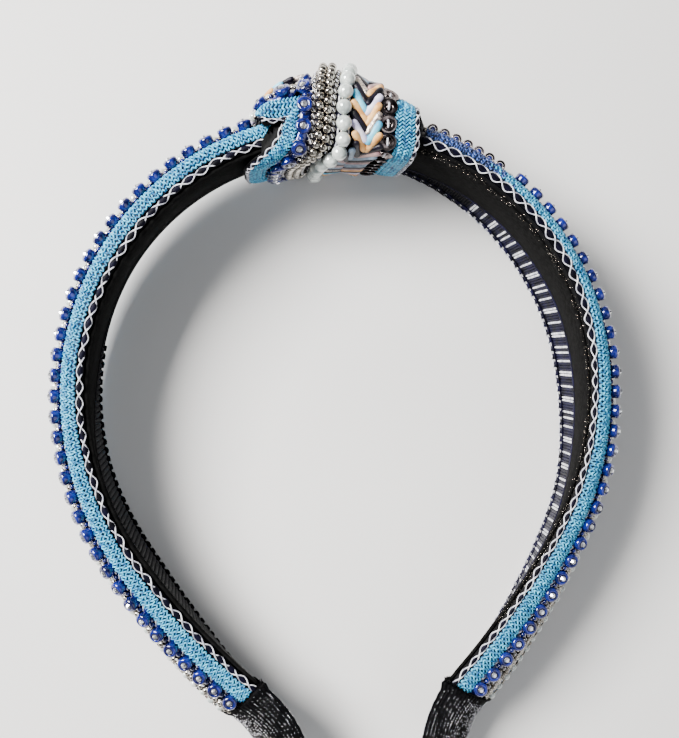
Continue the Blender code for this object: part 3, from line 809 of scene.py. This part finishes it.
def chain(piece, line, side, up, reach, slots, lump, pitch, thread=CHAIN_THREAD):
    """Two threads that cross again and again along a line, with a lump of cord in each eye."""
    run = running(line)
    count = max(int(run[-1] / pitch), 1)
    turn = run / run[-1] * count * math.pi
    reach = np.broadcast_to(reach, run.shape)
    for k in range(2):
        swing = np.cos(turn + k * math.pi) * reach
        swing = swing * (1 + 0.2 * np.sin(turn * 0.37 + 2.1 * k))
        rise = 0.36 - 0.26 * np.cos(2 * turn) + 0.1 * np.sin(turn + k * math.pi)
        piece.tube(line + side * swing[:, None] + up * rise[:, None], up, thread, slots[0], 5)
    chosen = np.searchsorted(run, np.arange(count + 1) / count * run[-1] - 1e-6)
    chosen = np.clip(chosen, 1, len(run) - 2)
    spots = squared(line[chosen], unit(line[chosen + 1] - line[chosen - 1]), up[chosen])
    piece.copies(spots, capsule(), slots[1], (pitch * 0.7, reach[chosen] * lump, 0.66))


def edging_row(piece, stretch, row):
    """Narrow edging: dark cord in a chain of white thread."""
    strip(piece, stretch, row, EDGING_BED, 2, 1.6)
    swing, lump, pitch = EDGING_CHAINS[stretch.name]
    share = stretch.line(row, -0.12 if stretch.on_arm else 0.0)
    stations = stretch.ends(share, CHAIN_STEP)
    line, _, side, up = stretch.places(stations, share, 0.5)
    chain(piece, line, side, up, stretch.width(stations, row) * swing, (0, 1), lump, pitch)


# Turned profiles of radius and height: cup, seat of the stone, stone. The seat is dark navy, painted
# shade for the dark ring round each stone.
CUP_PROFILE = (
    (0.0, 0.45), (1.4, 0.45), (1.76, 0.9), (1.78, 1.6), (1.88, 2.15), (1.76, 2.5), (1.3, 2.72),
    (0.96, 2.6), (0.84, 2.2), (0.0, 1.7),
)
SEAT_PROFILE = ((0.0, 1.8), (0.9, 2.3), (0.93, 2.62), (0.8, 2.66), (0.0, 2.1))
STONE_PROFILE = ((0.0, 2.1), (0.76, 2.5), (0.78, 2.64), (0.4, 3.05))
STONE_SIZES = {"knot": 1.12, "lobe": 1.2, "left": 1.06, "right": 1.06}
ARM_STONE_STRETCH = 1.25
STANDING_START = 1.6
STANDING_PITCH = 3.1
STANDING_LIFT = 1.4
# On the arms the stones lean to the front: from where, fully where, by how much.
STONE_LEANS = {
    "left": (135.0, 185.0, math.radians(28.0)),
    "right": (105.0, 160.0, math.radians(34.0)),
}


def stone_row(piece, stretch, row):
    """Clear cut stones in deep blue cups, with a small blue bead between each two."""
    share = stretch.line(row)
    strip(piece, stretch, row, FLAT_BED if stretch.on_arm else STONE_BED, 0)
    stations = stretch.stations(share, STONE_PITCH)
    centre, forward, side, up = stretch.places(stations, share, 0.0)
    start, full, lean = STONE_LEANS.get(stretch.name, (0.0, 1.0, 0.0))
    lean = lean * np.clip((np.abs(stations) - start) / (full - start), 0.0, 1.0)[:, None]
    leaning_side = side * np.cos(lean) + up * np.sin(lean)
    leaning_up = up * np.cos(lean) - side * np.sin(lean)
    ringed = (stations < SHADE_AND_RINGS_END) & (stretch.name == "right")
    spots = [part[~ringed] for part in (centre, forward, leaning_side, leaning_up)]
    size = STONE_SIZES[stretch.name]
    size = (size, size, ARM_STONE_STRETCH if stretch.on_arm else 1.0)
    for profile, sides, slot in ((CUP_PROFILE, 12, 0), (SEAT_PROFILE, 12, 3), (STONE_PROFILE, 8, 1)):
        piece.copies(spots, revolved(profile, sides), slot, size)
    if ringed.any():
        stands = np.arange(stretch.first + STANDING_START, SHADE_AND_RINGS_END, STANDING_PITCH)
        centre, forward, side, up = stretch.places(stands, share - 0.01, STANDING_LIFT)
        standing = (centre, forward, up, -side)
        piece.copies(standing, STANDING_RING, 4)
        piece.copies(standing, STANDING_BEAD, 0)
    middles = (stations[1:] + stations[:-1]) / 2
    between = stretch.places(middles, share, 0.9 if stretch.on_arm else 1.3)
    piece.copies(between, CUP_BEAD, 0, (0.9, 1.0, 0.9))
    for column in (-0.8, 0.8):
        beside = stretch.places(middles, stretch.line(row, column), 0.8, column * 0.9)
        piece.copies(beside, CUP_STITCH, 2)


BALL_RADII = {"knot": 1.2, "lobe": 0.8, "left": 0.86, "right": 0.86}
LOOP_PITCH = 1.6
LOOP_STITCH_SLANT = math.radians(30.0)


def ball_row(piece, stretch, row):
    """Two strings of silver balls side by side, with small silver loops and thread beside them."""
    strip(piece, stretch, row, FLAT_BED, 1)
    radius = BALL_RADII[stretch.name]
    lift = radius + 0.3
    shape = ball(radius, 12, 7) if stretch.name == "knot" else ball(radius, 10, 5)
    for k, side in enumerate((-1, 1)):
        stations = stretch.stations(stretch.line(row), 2 * radius, 0.5 * k, lift=lift)
        across = side * radius * 0.84 / stretch.width(stations, row, radius) * 2
        share = stretch.line(row, across)
        piece.copies(stretch.places(stations, share, lift), shape, 0)
    for column in (-0.86, 0.86):
        share = stretch.line(row, column)
        stations = stretch.stations(share, LOOP_PITCH)
        loops = stretch.places(stations, share, 1.05, tip=0.4)
        piece.copies(loops, SILVER_LOOP, 0)
        piece.copies(stretch.places(stations, share, 1.35, LOOP_STITCH_SLANT), LOOP_STITCH, 2)


PEARL_RADII = {"knot": 2.0, "lobe": 1.4, "left": 1.6, "right": 1.6}
PEARL_UNREST = 0.03
# The arms' pearls shrink towards the tips: from where, over what length, by what share.
PEARL_TAPER = (110.0, 60.0, 0.3)


def pearl_row(piece, stretch, row):
    """String of pearls with a silver link between each two and white stitches over the string."""
    strip(piece, stretch, row, FLAT_BED, 1)
    share = stretch.line(row)
    radius = PEARL_RADII[stretch.name]
    stations = stretch.stations(share, 2 * radius, lift=GAP + radius)
    sizes = radius * (1 + PEARL_UNREST * np.sin(np.arange(len(stations)) * 2.4))
    if stretch.on_arm:
        start, taper, loss = PEARL_TAPER
        sizes = sizes * (1 - loss * np.clip((np.abs(stations) - start) / taper, 0.0, 1.0))
    spots = stretch.places(stations, share, GAP + sizes)
    piece.copies(spots, PEARL, 0, (sizes, sizes, sizes))
    middles = (stations[1:] + stations[:-1]) / 2
    piece.copies(stretch.places(middles, share, GAP + radius), PEARL_LINK, 2)
    for column in (-0.6, 0.6):
        beside = stretch.places(middles, stretch.line(row, column), 1.3)
        piece.copies(beside, PEARL_STITCH, 3)


CHEVRON_PITCH = 2.42
CHEVRON_SLANT = math.radians(34.0)
CHEVRON_COLOURS = ("peach", "sky", "lavender", "dark", "silver", "steel", "mauve")
SKY_PLACES = {"knot": math.radians(8.0), "lobe": 0.7, "left": -170.0, "right": 170.0}
LOBE_CHEVRON_PADDING = 4.2
STRAND_SIZE = (1.0, 0.78)


def chevron_row(piece, stretch, row):
    """Flat plait: each pair of fat strands meets in a V and lies over the next pair."""
    padding = LOBE_CHEVRON_PADDING if stretch.name == "lobe" else 0.0
    strip(piece, stretch, row, BED, CHEVRON_COLOURS.index("dark"), padding=padding)
    mark = SKY_PLACES[stretch.name]
    stations = stretch.stations(stretch.line(row), CHEVRON_PITCH, mark=mark)[::-1]
    sky = [side[0] for side in CHEVRONS].index("sky")
    order = np.arange(len(stations)) - int(np.argmin(np.abs(stations - mark))) + sky
    lift = 1.2 + padding * np.clip(stations, 0.0, 1.0)
    length = stretch.width(stations, row) * 0.5 / math.sin(CHEVRON_SLANT) * 1.06
    for end, side in enumerate((-1, 1)):
        share = stretch.line(row, side * 0.49)
        slant = side * CHEVRON_SLANT * stretch.surface.outward
        limbs = [CHEVRONS[k % len(CHEVRONS)][end] for k in order]
        for slot, name in enumerate(CHEVRON_COLOURS):
            chosen = np.array([limb == name for limb in limbs])
            if chosen.any():
                spots = stretch.places(stations[chosen], share, lift[chosen], slant, 0.12)
                piece.copies(spots, capsule(10), slot, (length[chosen], *STRAND_SIZE))


SEQUIN_PITCHES = {"knot": 4.3, "lobe": 3.6, "left": 3.6, "right": 3.6}
SEQUIN_PROFILE = (
    (0.55, 0.0), (1.2, 0.08), (1.85, 0.5), (2.0, 0.62), (1.88, 0.72), (1.2, 0.28), (0.55, 0.2),
)
SEQUIN = turned_ring(*np.array(SEQUIN_PROFILE).T, 20)
SEQUIN_FULL_PITCH = 3.7
SEQUIN_TIP = 0.16
SEQUIN_BAR = (2.2, 0.3, 0.3)


def sequin_row(piece, stretch, row):
    """Cupped gunmetal sequins, overlapping, each held by a white bar of thread."""
    strip(piece, stretch, row, FLAT_BED, 1)
    share = stretch.line(row)
    pitch = SEQUIN_PITCHES[stretch.name]
    stations = stretch.stations(share, pitch)
    size = pitch / SEQUIN_FULL_PITCH
    spots = stretch.places(stations, share, 0.95, tip=SEQUIN_TIP)
    piece.copies(spots, SEQUIN, 0, (size, size, 1.0))
    bars = stretch.places(stations, share, 1.45)
    piece.copies(bars, BAR, 2, SEQUIN_BAR)
    piece.copies(bars, SEQUIN_EYE, 0)


def fold_line(lengths, across, drop):
    """Line on the lining side of the back edging; across runs from its free edge to the back."""
    points = []
    for length in lengths:
        fold, hang = fold_width(length)
        half = band_section(length)[0] / 2
        z = -half + fold + (-GAP - FOLD_THICKNESS - fold) * across
        rise = -GAP - FOLD_THICKNESS - hang * across
        points.append(section_point(length, rise - drop, z))
    return np.array(points)


def fold_up(lengths):
    """Direction that faces the head, for details on the lining side."""
    frames = np.array([arch_frame(length) for length in lengths])
    return np.stack((-frames[:, 2], -frames[:, 3], np.zeros(len(lengths))), axis=-1)


# Threads across the back edging: pitch and radius, and which of each 23 are white on the right.
LADDERS = {"left": (1.5, 0.72), "right": (0.82, 0.34)}
LADDER_WHITES = (0, 4, 5, 9, 13, 14, 18, 20)
LADDER_REPEAT = 23
LADDER_SWING = 0.6
# Lump, pitch and thread of the chain; place across the fold and drop off it for the two cords.
LADDER_CHAIN_FORM = (0.75, 2.4, 0.17)
LADDER_CORDS = ((0.98, -0.32), (0.02, -0.15))
LADDER_CORD_RADIUS = 0.34
# Where the chain along the back runs, and the slot of its thread: on the left it starts late. Black
# thread on the left, and beside the knot on the right, is painted shade.
LADDER_CHAINS = {
    "left": ((88.0, LEFT_TRIM_END, 2),),
    "right": ((RIGHT_START, SHADE_AND_RINGS_END, 2), (SHADE_AND_RINGS_END, RIGHT_TRIM_END, 0)),
}


def ladder_edging(piece, stretch, row):
    """Back edging of an arm: a folded strip with threads across it, and a chain along its back."""
    name = stretch.name
    side, start, end = ARMS[name]
    # On the left the cords and lumps are black instead of navy: painted shade.
    dark = 1 if name == "right" else 2
    rings = []
    for length in side * np.linspace(start, end, int((end - start) / 1.5)):
        fold, hang = fold_width(length)
        back = -band_section(length)[0] / 2
        corners = (
            (1.1, back - GAP),
            (-GAP, back - GAP),
            (-GAP, back + fold),
            (-GAP - 0.55, back + fold),
            (-GAP - 0.55 - hang, back - GAP - 0.6),
            (0.0, back - GAP - 0.95),
            (1.1, back - GAP - 0.7),
        )
        rings.append([section_point(length, rise, z) for rise, z in corners])
    piece.loft(rings, 1)
    fine = side * np.arange(start, end, CHAIN_STEP)
    head = fold_up(fine)
    back_line = fold_line(fine, 0.98, 0.1)
    for first, last, thread in LADDER_CHAINS[name]:
        part = (np.abs(fine) >= first) & (np.abs(fine) < last)
        line = back_line[part]
        swing = unit(head[part] * 0.85 + np.array((0.0, 0.0, 0.5)))
        up = np.cross(unit(np.gradient(line, axis=0)), swing)
        chain(piece, line, swing, up, LADDER_SWING, (thread, dark), *LADDER_CHAIN_FORM)
    for place, drop in LADDER_CORDS:
        piece.tube(fold_line(fine, place, drop), head, LADDER_CORD_RADIUS, dark)
    pitch, radius = LADDERS[name]
    bars = side * np.arange(LADDER_CHAINS[name][0][0] + 1.0, end - 0.5, pitch)
    near = fold_line(bars, 0.04, -0.25)
    far = fold_line(bars, 0.86, -0.25)
    reach = np.linalg.norm(far - near, axis=1)
    spots = squared((near + far) / 2, unit(far - near), fold_up(bars))
    # Bars on the left, and on the right beside the knot, are black: painted shade. The others are
    # navy with white ones among them.
    late = bars > SHADE_AND_RINGS_END
    white = np.isin(np.arange(len(bars)) % LADDER_REPEAT, LADDER_WHITES) & late
    for chosen, slot in ((white, 0), (~white & late, 1), (~late, 2)):
        if chosen.any():
            size = (reach[chosen] * 1.04, radius, radius * 0.8)
            piece.copies([part[chosen] for part in spots], BAR, slot, size)


def satin_cover(part, rings, endless=False):
    """Black satin over a part's padding, through the rings round it."""
    piece = Piece()
    piece.loft(rings, 0, endless)
    item = piece.build(f"{part}_cover", ("black_satin",), f"{part}_core")


def band_cover():
    first = -LEFT_TRIM_END - CORE_BEYOND_TRIM
    rings = []
    for length in np.linspace(first, RIGHT_TRIM_END + CORE_BEYOND_TRIM, 230):
        ring = [arm_base(float(length), share) for share in np.linspace(0.0, 1.0, 37)]
        rings.append(ring + [(ring[0] + ring[-1]) / 2])
    satin_cover("band", rings)


LINING_DOTS = 480
LINING_DOT_RADIUS = 0.1


def lining_strip():
    """Felt against the head, with bronze glitter along its front edge on the right arm."""
    piece = Piece()
    inner = -GAP - LINING_THICKNESS
    crown_fold = min(fold_width(-LEFT_START)[0], fold_width(RIGHT_START)[0])
    rings = []
    for length in np.linspace(-LEFT_TRIM_END, RIGHT_TRIM_END, 220):
        half = band_section(length)[0] / 2
        front = half - LINING_INSET
        fold = crown_fold if -LEFT_START < length < RIGHT_START else fold_width(length)[0]
        back = min(fold + GAP - half, front - 1.2)
        corners = (
            (-GAP, front), (-GAP, back), (inner + 0.3, back), (inner, back + 0.35),
            (inner, front - 0.35), (inner + 0.3, front),
        )
        rings.append([section_point(length, rise, z) for rise, z in corners])
    piece.loft(rings, 0)
    spots = []
    for _ in range(LINING_DOTS):
        station = random.uniform(RIGHT_START, RIGHT_TRIM_END - 20.0)
        front = band_section(station)[0] / 2 + 0.04
        spots.append(section_point(station, random.uniform(inner, 0.3), front))
    piece.dots(spots, LINING_DOT_RADIUS, 3, 1)
    piece.build("lining_felt", ("black_felt", "bronze_dot"), "lining")


SLEEVE_RIBS = 54
RIB_DEPTH = 0.3
RING_POINTS = 324
GLITTER_DOTS = 1200
GLITTER_RADIUS = 0.16
THREAD_LENGTHS = (0.9, 1.9)
# Rings that close the tip: distance from its end, size.
TIP_RINGS = ((4.4, 0.96), (2.8, 0.87), (1.5, 0.74), (0.6, 0.56), (0.1, 0.34), (0.0, 0.14))


def sleeve_ring(length, wall, size=1.0, rib=RIB_DEPTH):
    """Ribbed ring round the band's section, pulled towards its middle where the tip closes."""
    ring = [band_point(length, share, wall) for share in np.linspace(0.0, 1.0, 41)]
    x, y, out_x, out_y = arch_frame(length)
    inward = Vector((out_x, out_y, 0.0)) * wall
    ring[0] -= inward
    ring[-1] -= inward
    closed = np.array(ring + [ring[0]])
    run = running(closed)
    spread = np.linspace(0.0, run[-1], RING_POINTS, endpoint=False)
    points = np.stack([np.interp(spread, run, closed[:, k]) for k in range(3)], axis=-1)
    middle = points.mean(axis=0)
    turns = np.arange(RING_POINTS) / RING_POINTS * SLEEVE_RIBS * 2 * math.pi
    lift = np.abs(np.cos(turns / 2)) * rib - rib / 2
    outward = unit(points - middle)
    return middle + (points - middle) * size + outward * lift[:, None]


def knit_sleeve(arm):
    """Ribbed knit sleeve over the band's end, with a flared lip, loose threads and glitter."""
    side, _, trim = ARMS[arm]
    lip = trim + TIP_GAP
    tip = trim + SLEEVE_BEYOND_TRIM
    inside = (trim + CORE_BEYOND_TRIM + GAP, lip + 4.0, lip)
    piece = Piece()
    rings = [sleeve_ring(side * length, GAP, 1.0, 0.0) for length in inside]
    rings.append(sleeve_ring(side * lip, SLEEVE_WALL + LIP_FLARE - 0.3, 1.0, 0.1))
    rings.append(sleeve_ring(side * (lip + 0.6), SLEEVE_WALL + LIP_FLARE))
    for length in np.linspace(lip + 2.6, tip - 6.0, 26):
        wave = 0.05 * math.sin((length - lip) * 2.1)
        rings.append(sleeve_ring(side * float(length), SLEEVE_WALL + wave))
    for short, size in TIP_RINGS:
        rings.append(sleeve_ring(side * (tip - short), SLEEVE_WALL, size, RIB_DEPTH * size))
    piece.loft(rings, 0)
    body = np.array(rings[4:32])
    spots = []
    for _ in range(GLITTER_DOTS):
        i = random.randrange(body.shape[0] - 1)
        k = random.randrange(SLEEVE_RIBS) * (RING_POINTS // SLEEVE_RIBS)
        blend = random.random()
        spots.append(body[i, k] * (1 - blend) + body[i + 1, k] * blend)
    piece.dots(spots, GLITTER_RADIUS, 2, 1)
    lip_ring = np.array(rings[3])
    chosen = np.arange(0, RING_POINTS, 3)
    outward = unit(lip_ring - lip_ring.mean(axis=0))[chosen]
    back = unit(lip_ring - np.array(rings[6]))[chosen]
    swing = np.array([random.uniform(-0.5, 0.5) for _ in chosen])[:, None]
    around = unit(np.cross(outward, back))
    forward = unit(back + outward * 0.35 + around * swing)
    lengths = np.array([random.uniform(*THREAD_LENGTHS) for _ in chosen])
    threads = squared(lip_ring[chosen] + forward * 0.35, forward, outward)
    piece.copies(threads, LOOSE_THREAD, 0, (lengths, 1, 1))
    name = f"{arm}_tip_sleeve"
    piece.build(f"{name}_knit", ("black_knit", "glitter_dot"), name)


def tunnel_ring(angles, place):
    """Ring of the way through the knot, which holds the band; place runs 0 to 1."""
    start, corner, end = map(math.radians, TUNNEL_TURNS)
    ring = []
    for angle in angles:
        left = knot_base(angle, 0.0).x
        right = knot_base(angle, 1.0).x
        length = left + (right - left) * place
        if angle <= corner:
            share = (angle - start) / (corner - start)
            sole = TUNNEL_SOLE if share in (0.0, 1.0) else 0.0
            ring.append(band_point(length, share, room_lift(share), sole))
            continue
        far = band_point(length, 1.0, room_lift(1.0), TUNNEL_SOLE)
        near = band_point(length, 0.0, room_lift(0.0), TUNNEL_SOLE)
        ring.append(far.lerp(near, (angle - corner) / (end - corner)))
    return ring


def knot_cover():
    """Cover of the knot's padding, with the way through it."""
    start, corner, end = TUNNEL_TURNS
    turns = np.concatenate((np.linspace(start, corner, 47), np.linspace(corner, end, 27)[1:-1]))
    angles = [float(angle) for angle in np.radians(turns)]
    rings = [[knot_base(angle, share) for angle in angles] for share in np.linspace(0.0, 1.0, 33)]
    rings += [tunnel_ring(angles, place) for place in (1.0, 0.75, 0.5, 0.25, 0.0)]
    satin_cover("knot", rings, True)


def lobe_cover():
    """Cover of the lobe's padding, hollow where the band lies under it."""
    shares = np.linspace(0.0, 1.0, 33)
    first, last = LOBE_INNER_SHARES
    rings = []
    for place in np.linspace(0.0, 1.0, 13):
        ring = [lobe_base(float(place), float(share)) for share in shares]
        for share in np.linspace(last, first, len(shares)):
            inner = band_point(LOBE_LEFT, float(share), room_lift(share))
            rise = (inner - Vector((*arch_frame(LOBE_LEFT)[:2], inner.z))).length
            right = LOBE_RIGHT_LOW + LOBE_RIGHT_SLOPE * rise
            length = LOBE_LEFT + (right - LOBE_LEFT) * place
            ring.append(band_point(length, float(share), room_lift(share)))
        rings.append(ring)
    satin_cover("lobe", rings)


# How rows are made: maker, name of the detail, material slot, materials in the maker's order.
CHEVRON_MATERIALS = [f"{name}_cord" for name in CHEVRON_COLOURS]
EDGING = (edging_row, "chain", "edging_cord", ("white_thread", "dark_cord_lump", "black_bar"))
LADDER = (ladder_edging, "ladder", "edging_cord", ("white_thread", "navy_thread", "black_bar"))
BRAID = (braid_row, "threads", "blue_braid", ("blue_braid", "braid_shade", "painted_shade_braid"))
STONES = (
    stone_row, "stones", "rhinestone_blue",
    ("blue_cup", FACETED, "white_thread", "navy_thread", "gunmetal_sequin"),
)
BALLS = (ball_row, "balls", "silver_ball", ("silver_ball", "navy_thread", "white_thread"))
PEARLS = (
    pearl_row, "pearls", "pearl", ("pearl", "navy_thread", "silver_ball", "white_thread"),
)
STRANDS = (chevron_row, "strands", "chevron_cord", CHEVRON_MATERIALS)
SEQUINS = (
    sequin_row, "sequins", "gunmetal_sequin", ("gunmetal_sequin", "navy_thread", "white_thread"),
)
MAKERS = (EDGING, BRAID, STONES, BALLS, PEARLS, STRANDS, SEQUINS, BRAID, EDGING)
ROW_MAKERS = dict(zip(ROW_WIDTHS, MAKERS))


def dress(stretch, rows):
    """Pieces of the rows on one stretch of the ribbon."""
    for row in rows:
        folded = stretch.on_arm and row == "back_edging"
        maker, detail, slot, kinds = LADDER if folded else ROW_MAKERS[row]
        piece = Piece()
        maker(piece, stretch, row)
        node = f"{stretch.name}_{row}"
        piece.build(f"{node}_{detail}", kinds, node)


FLOOR_REACH = 3.0
# Square lights that aim at the part: place, side, watts, tint.
LIGHTS = {
    "key": ((-0.56, 0.3, 0.6), 0.4, 31.0, (1.0, 0.98, 0.95)),
    "fill": ((0.4, -0.45, 0.9), 0.8, 3.0, (0.93, 0.96, 1.0)),
}
STUDIO_TONES = ((0.12, 0.125, 0.14, 1.0), (1.25, 1.27, 1.3, 1.0))
STUDIO_STRENGTH = 0.44


def make_floor():
    mesh = bpy.data.meshes.new("floor")
    signs = ((-1, -1), (1, -1), (1, 1), (-1, 1))
    corners = [(x * FLOOR_REACH, y * FLOOR_REACH, 0) for x, y in signs]
    mesh.from_pydata(corners, [], [(0, 1, 2, 3)])
    mesh.materials.append(MATERIALS["pale_floor"])
    add_object("floor", mesh)


def make_lights():
    """A studio of soft bright and dark patches for the pearls to mirror, and two lights."""
    world = bpy.data.worlds.new("studio")
    world.use_nodes = True
    nodes = world.node_tree.nodes
    links = world.node_tree.links
    background = nodes["Background"]
    background.inputs["Strength"].default_value = STUDIO_STRENGTH
    patches = noise(nodes, links, 1.7, space="Generated")
    links.new(ramp(nodes, links, patches, (0.44, 0.56), STUDIO_TONES), background.inputs["Color"])
    bpy.context.scene.world = world
    for name, (place, size, watts, tint) in LIGHTS.items():
        data = bpy.data.lights.new(name, "AREA")
        data.shape = "SQUARE"
        data.size = size
        data.energy = watts
        data.color = tint
        item = add_object(name, data)
        item.location = place
        item.rotation_euler = (-Vector(place)).to_track_quat("-Z", "Y").to_euler()


def make_camera():
    data = bpy.data.cameras.new("camera")
    data.sensor_fit = "VERTICAL"
    data.angle = CAMERA_ANGLE
    data.clip_start = 0.01
    item = add_object("camera", data)
    tilt = Matrix.Rotation(REST_TILT, 3, "X")
    back = -(tilt @ Vector(CAMERA_VIEW)).normalized()
    up = (tilt @ Vector(CAMERA_UP)).normalized()
    right = up.cross(back).normalized()
    up = back.cross(right)
    turned = Matrix((right, up, back)).transposed().to_4x4()
    item.matrix_world = Matrix.Translation(to_row(np.array(CAMERA_PLACE))) @ turned
    bpy.context.scene.camera = item


make_camera()
make_lights()
make_floor()

left_face = Surface(arm_base, -LEFT_TRIM_END - 1.0, -LEFT_START + 1.0, 180, 1.0)
right_face = Surface(arm_base, RIGHT_START - 1.0, RIGHT_TRIM_END + 1.0, 170, 1.0)
knot_face = Surface(knot_base, math.radians(-156.0), math.radians(376.0), 240, -1.0)
lobe_face = Surface(lobe_base, -0.16, 1.26, 30, 1.0)

rows = tuple(ROW_WIDTHS)
crown_rows = [row for row in rows if row not in EDGE_ROWS]
over_rows = [row for row in rows if row not in KNOT_UNDER_ROWS]
arm = (ARM_WIDTHS, ARM_MARGIN)
dress(Stretch("left", left_face, -LEFT_START, -LEFT_TRIM_END, *arm), EDGE_ROWS)
dress(Stretch("left", left_face, -LEFT_CROWN_START, -LEFT_TRIM_END, *arm), crown_rows)
dress(Stretch("right", right_face, RIGHT_START, RIGHT_TRIM_END, *arm), rows)
dress(Stretch("knot", knot_face, *KNOT_OVER), over_rows)
dress(Stretch("knot", knot_face, *KNOT_UNDER), KNOT_UNDER_ROWS)
dress(Stretch("lobe", lobe_face, -0.06, 1.2), EDGE_ROWS)
dress(Stretch("lobe", lobe_face, -0.06, 1.06), crown_rows)

band_cover()
lining_strip()
knit_sleeve("left")
knit_sleeve("right")
knot_cover()
lobe_cover()
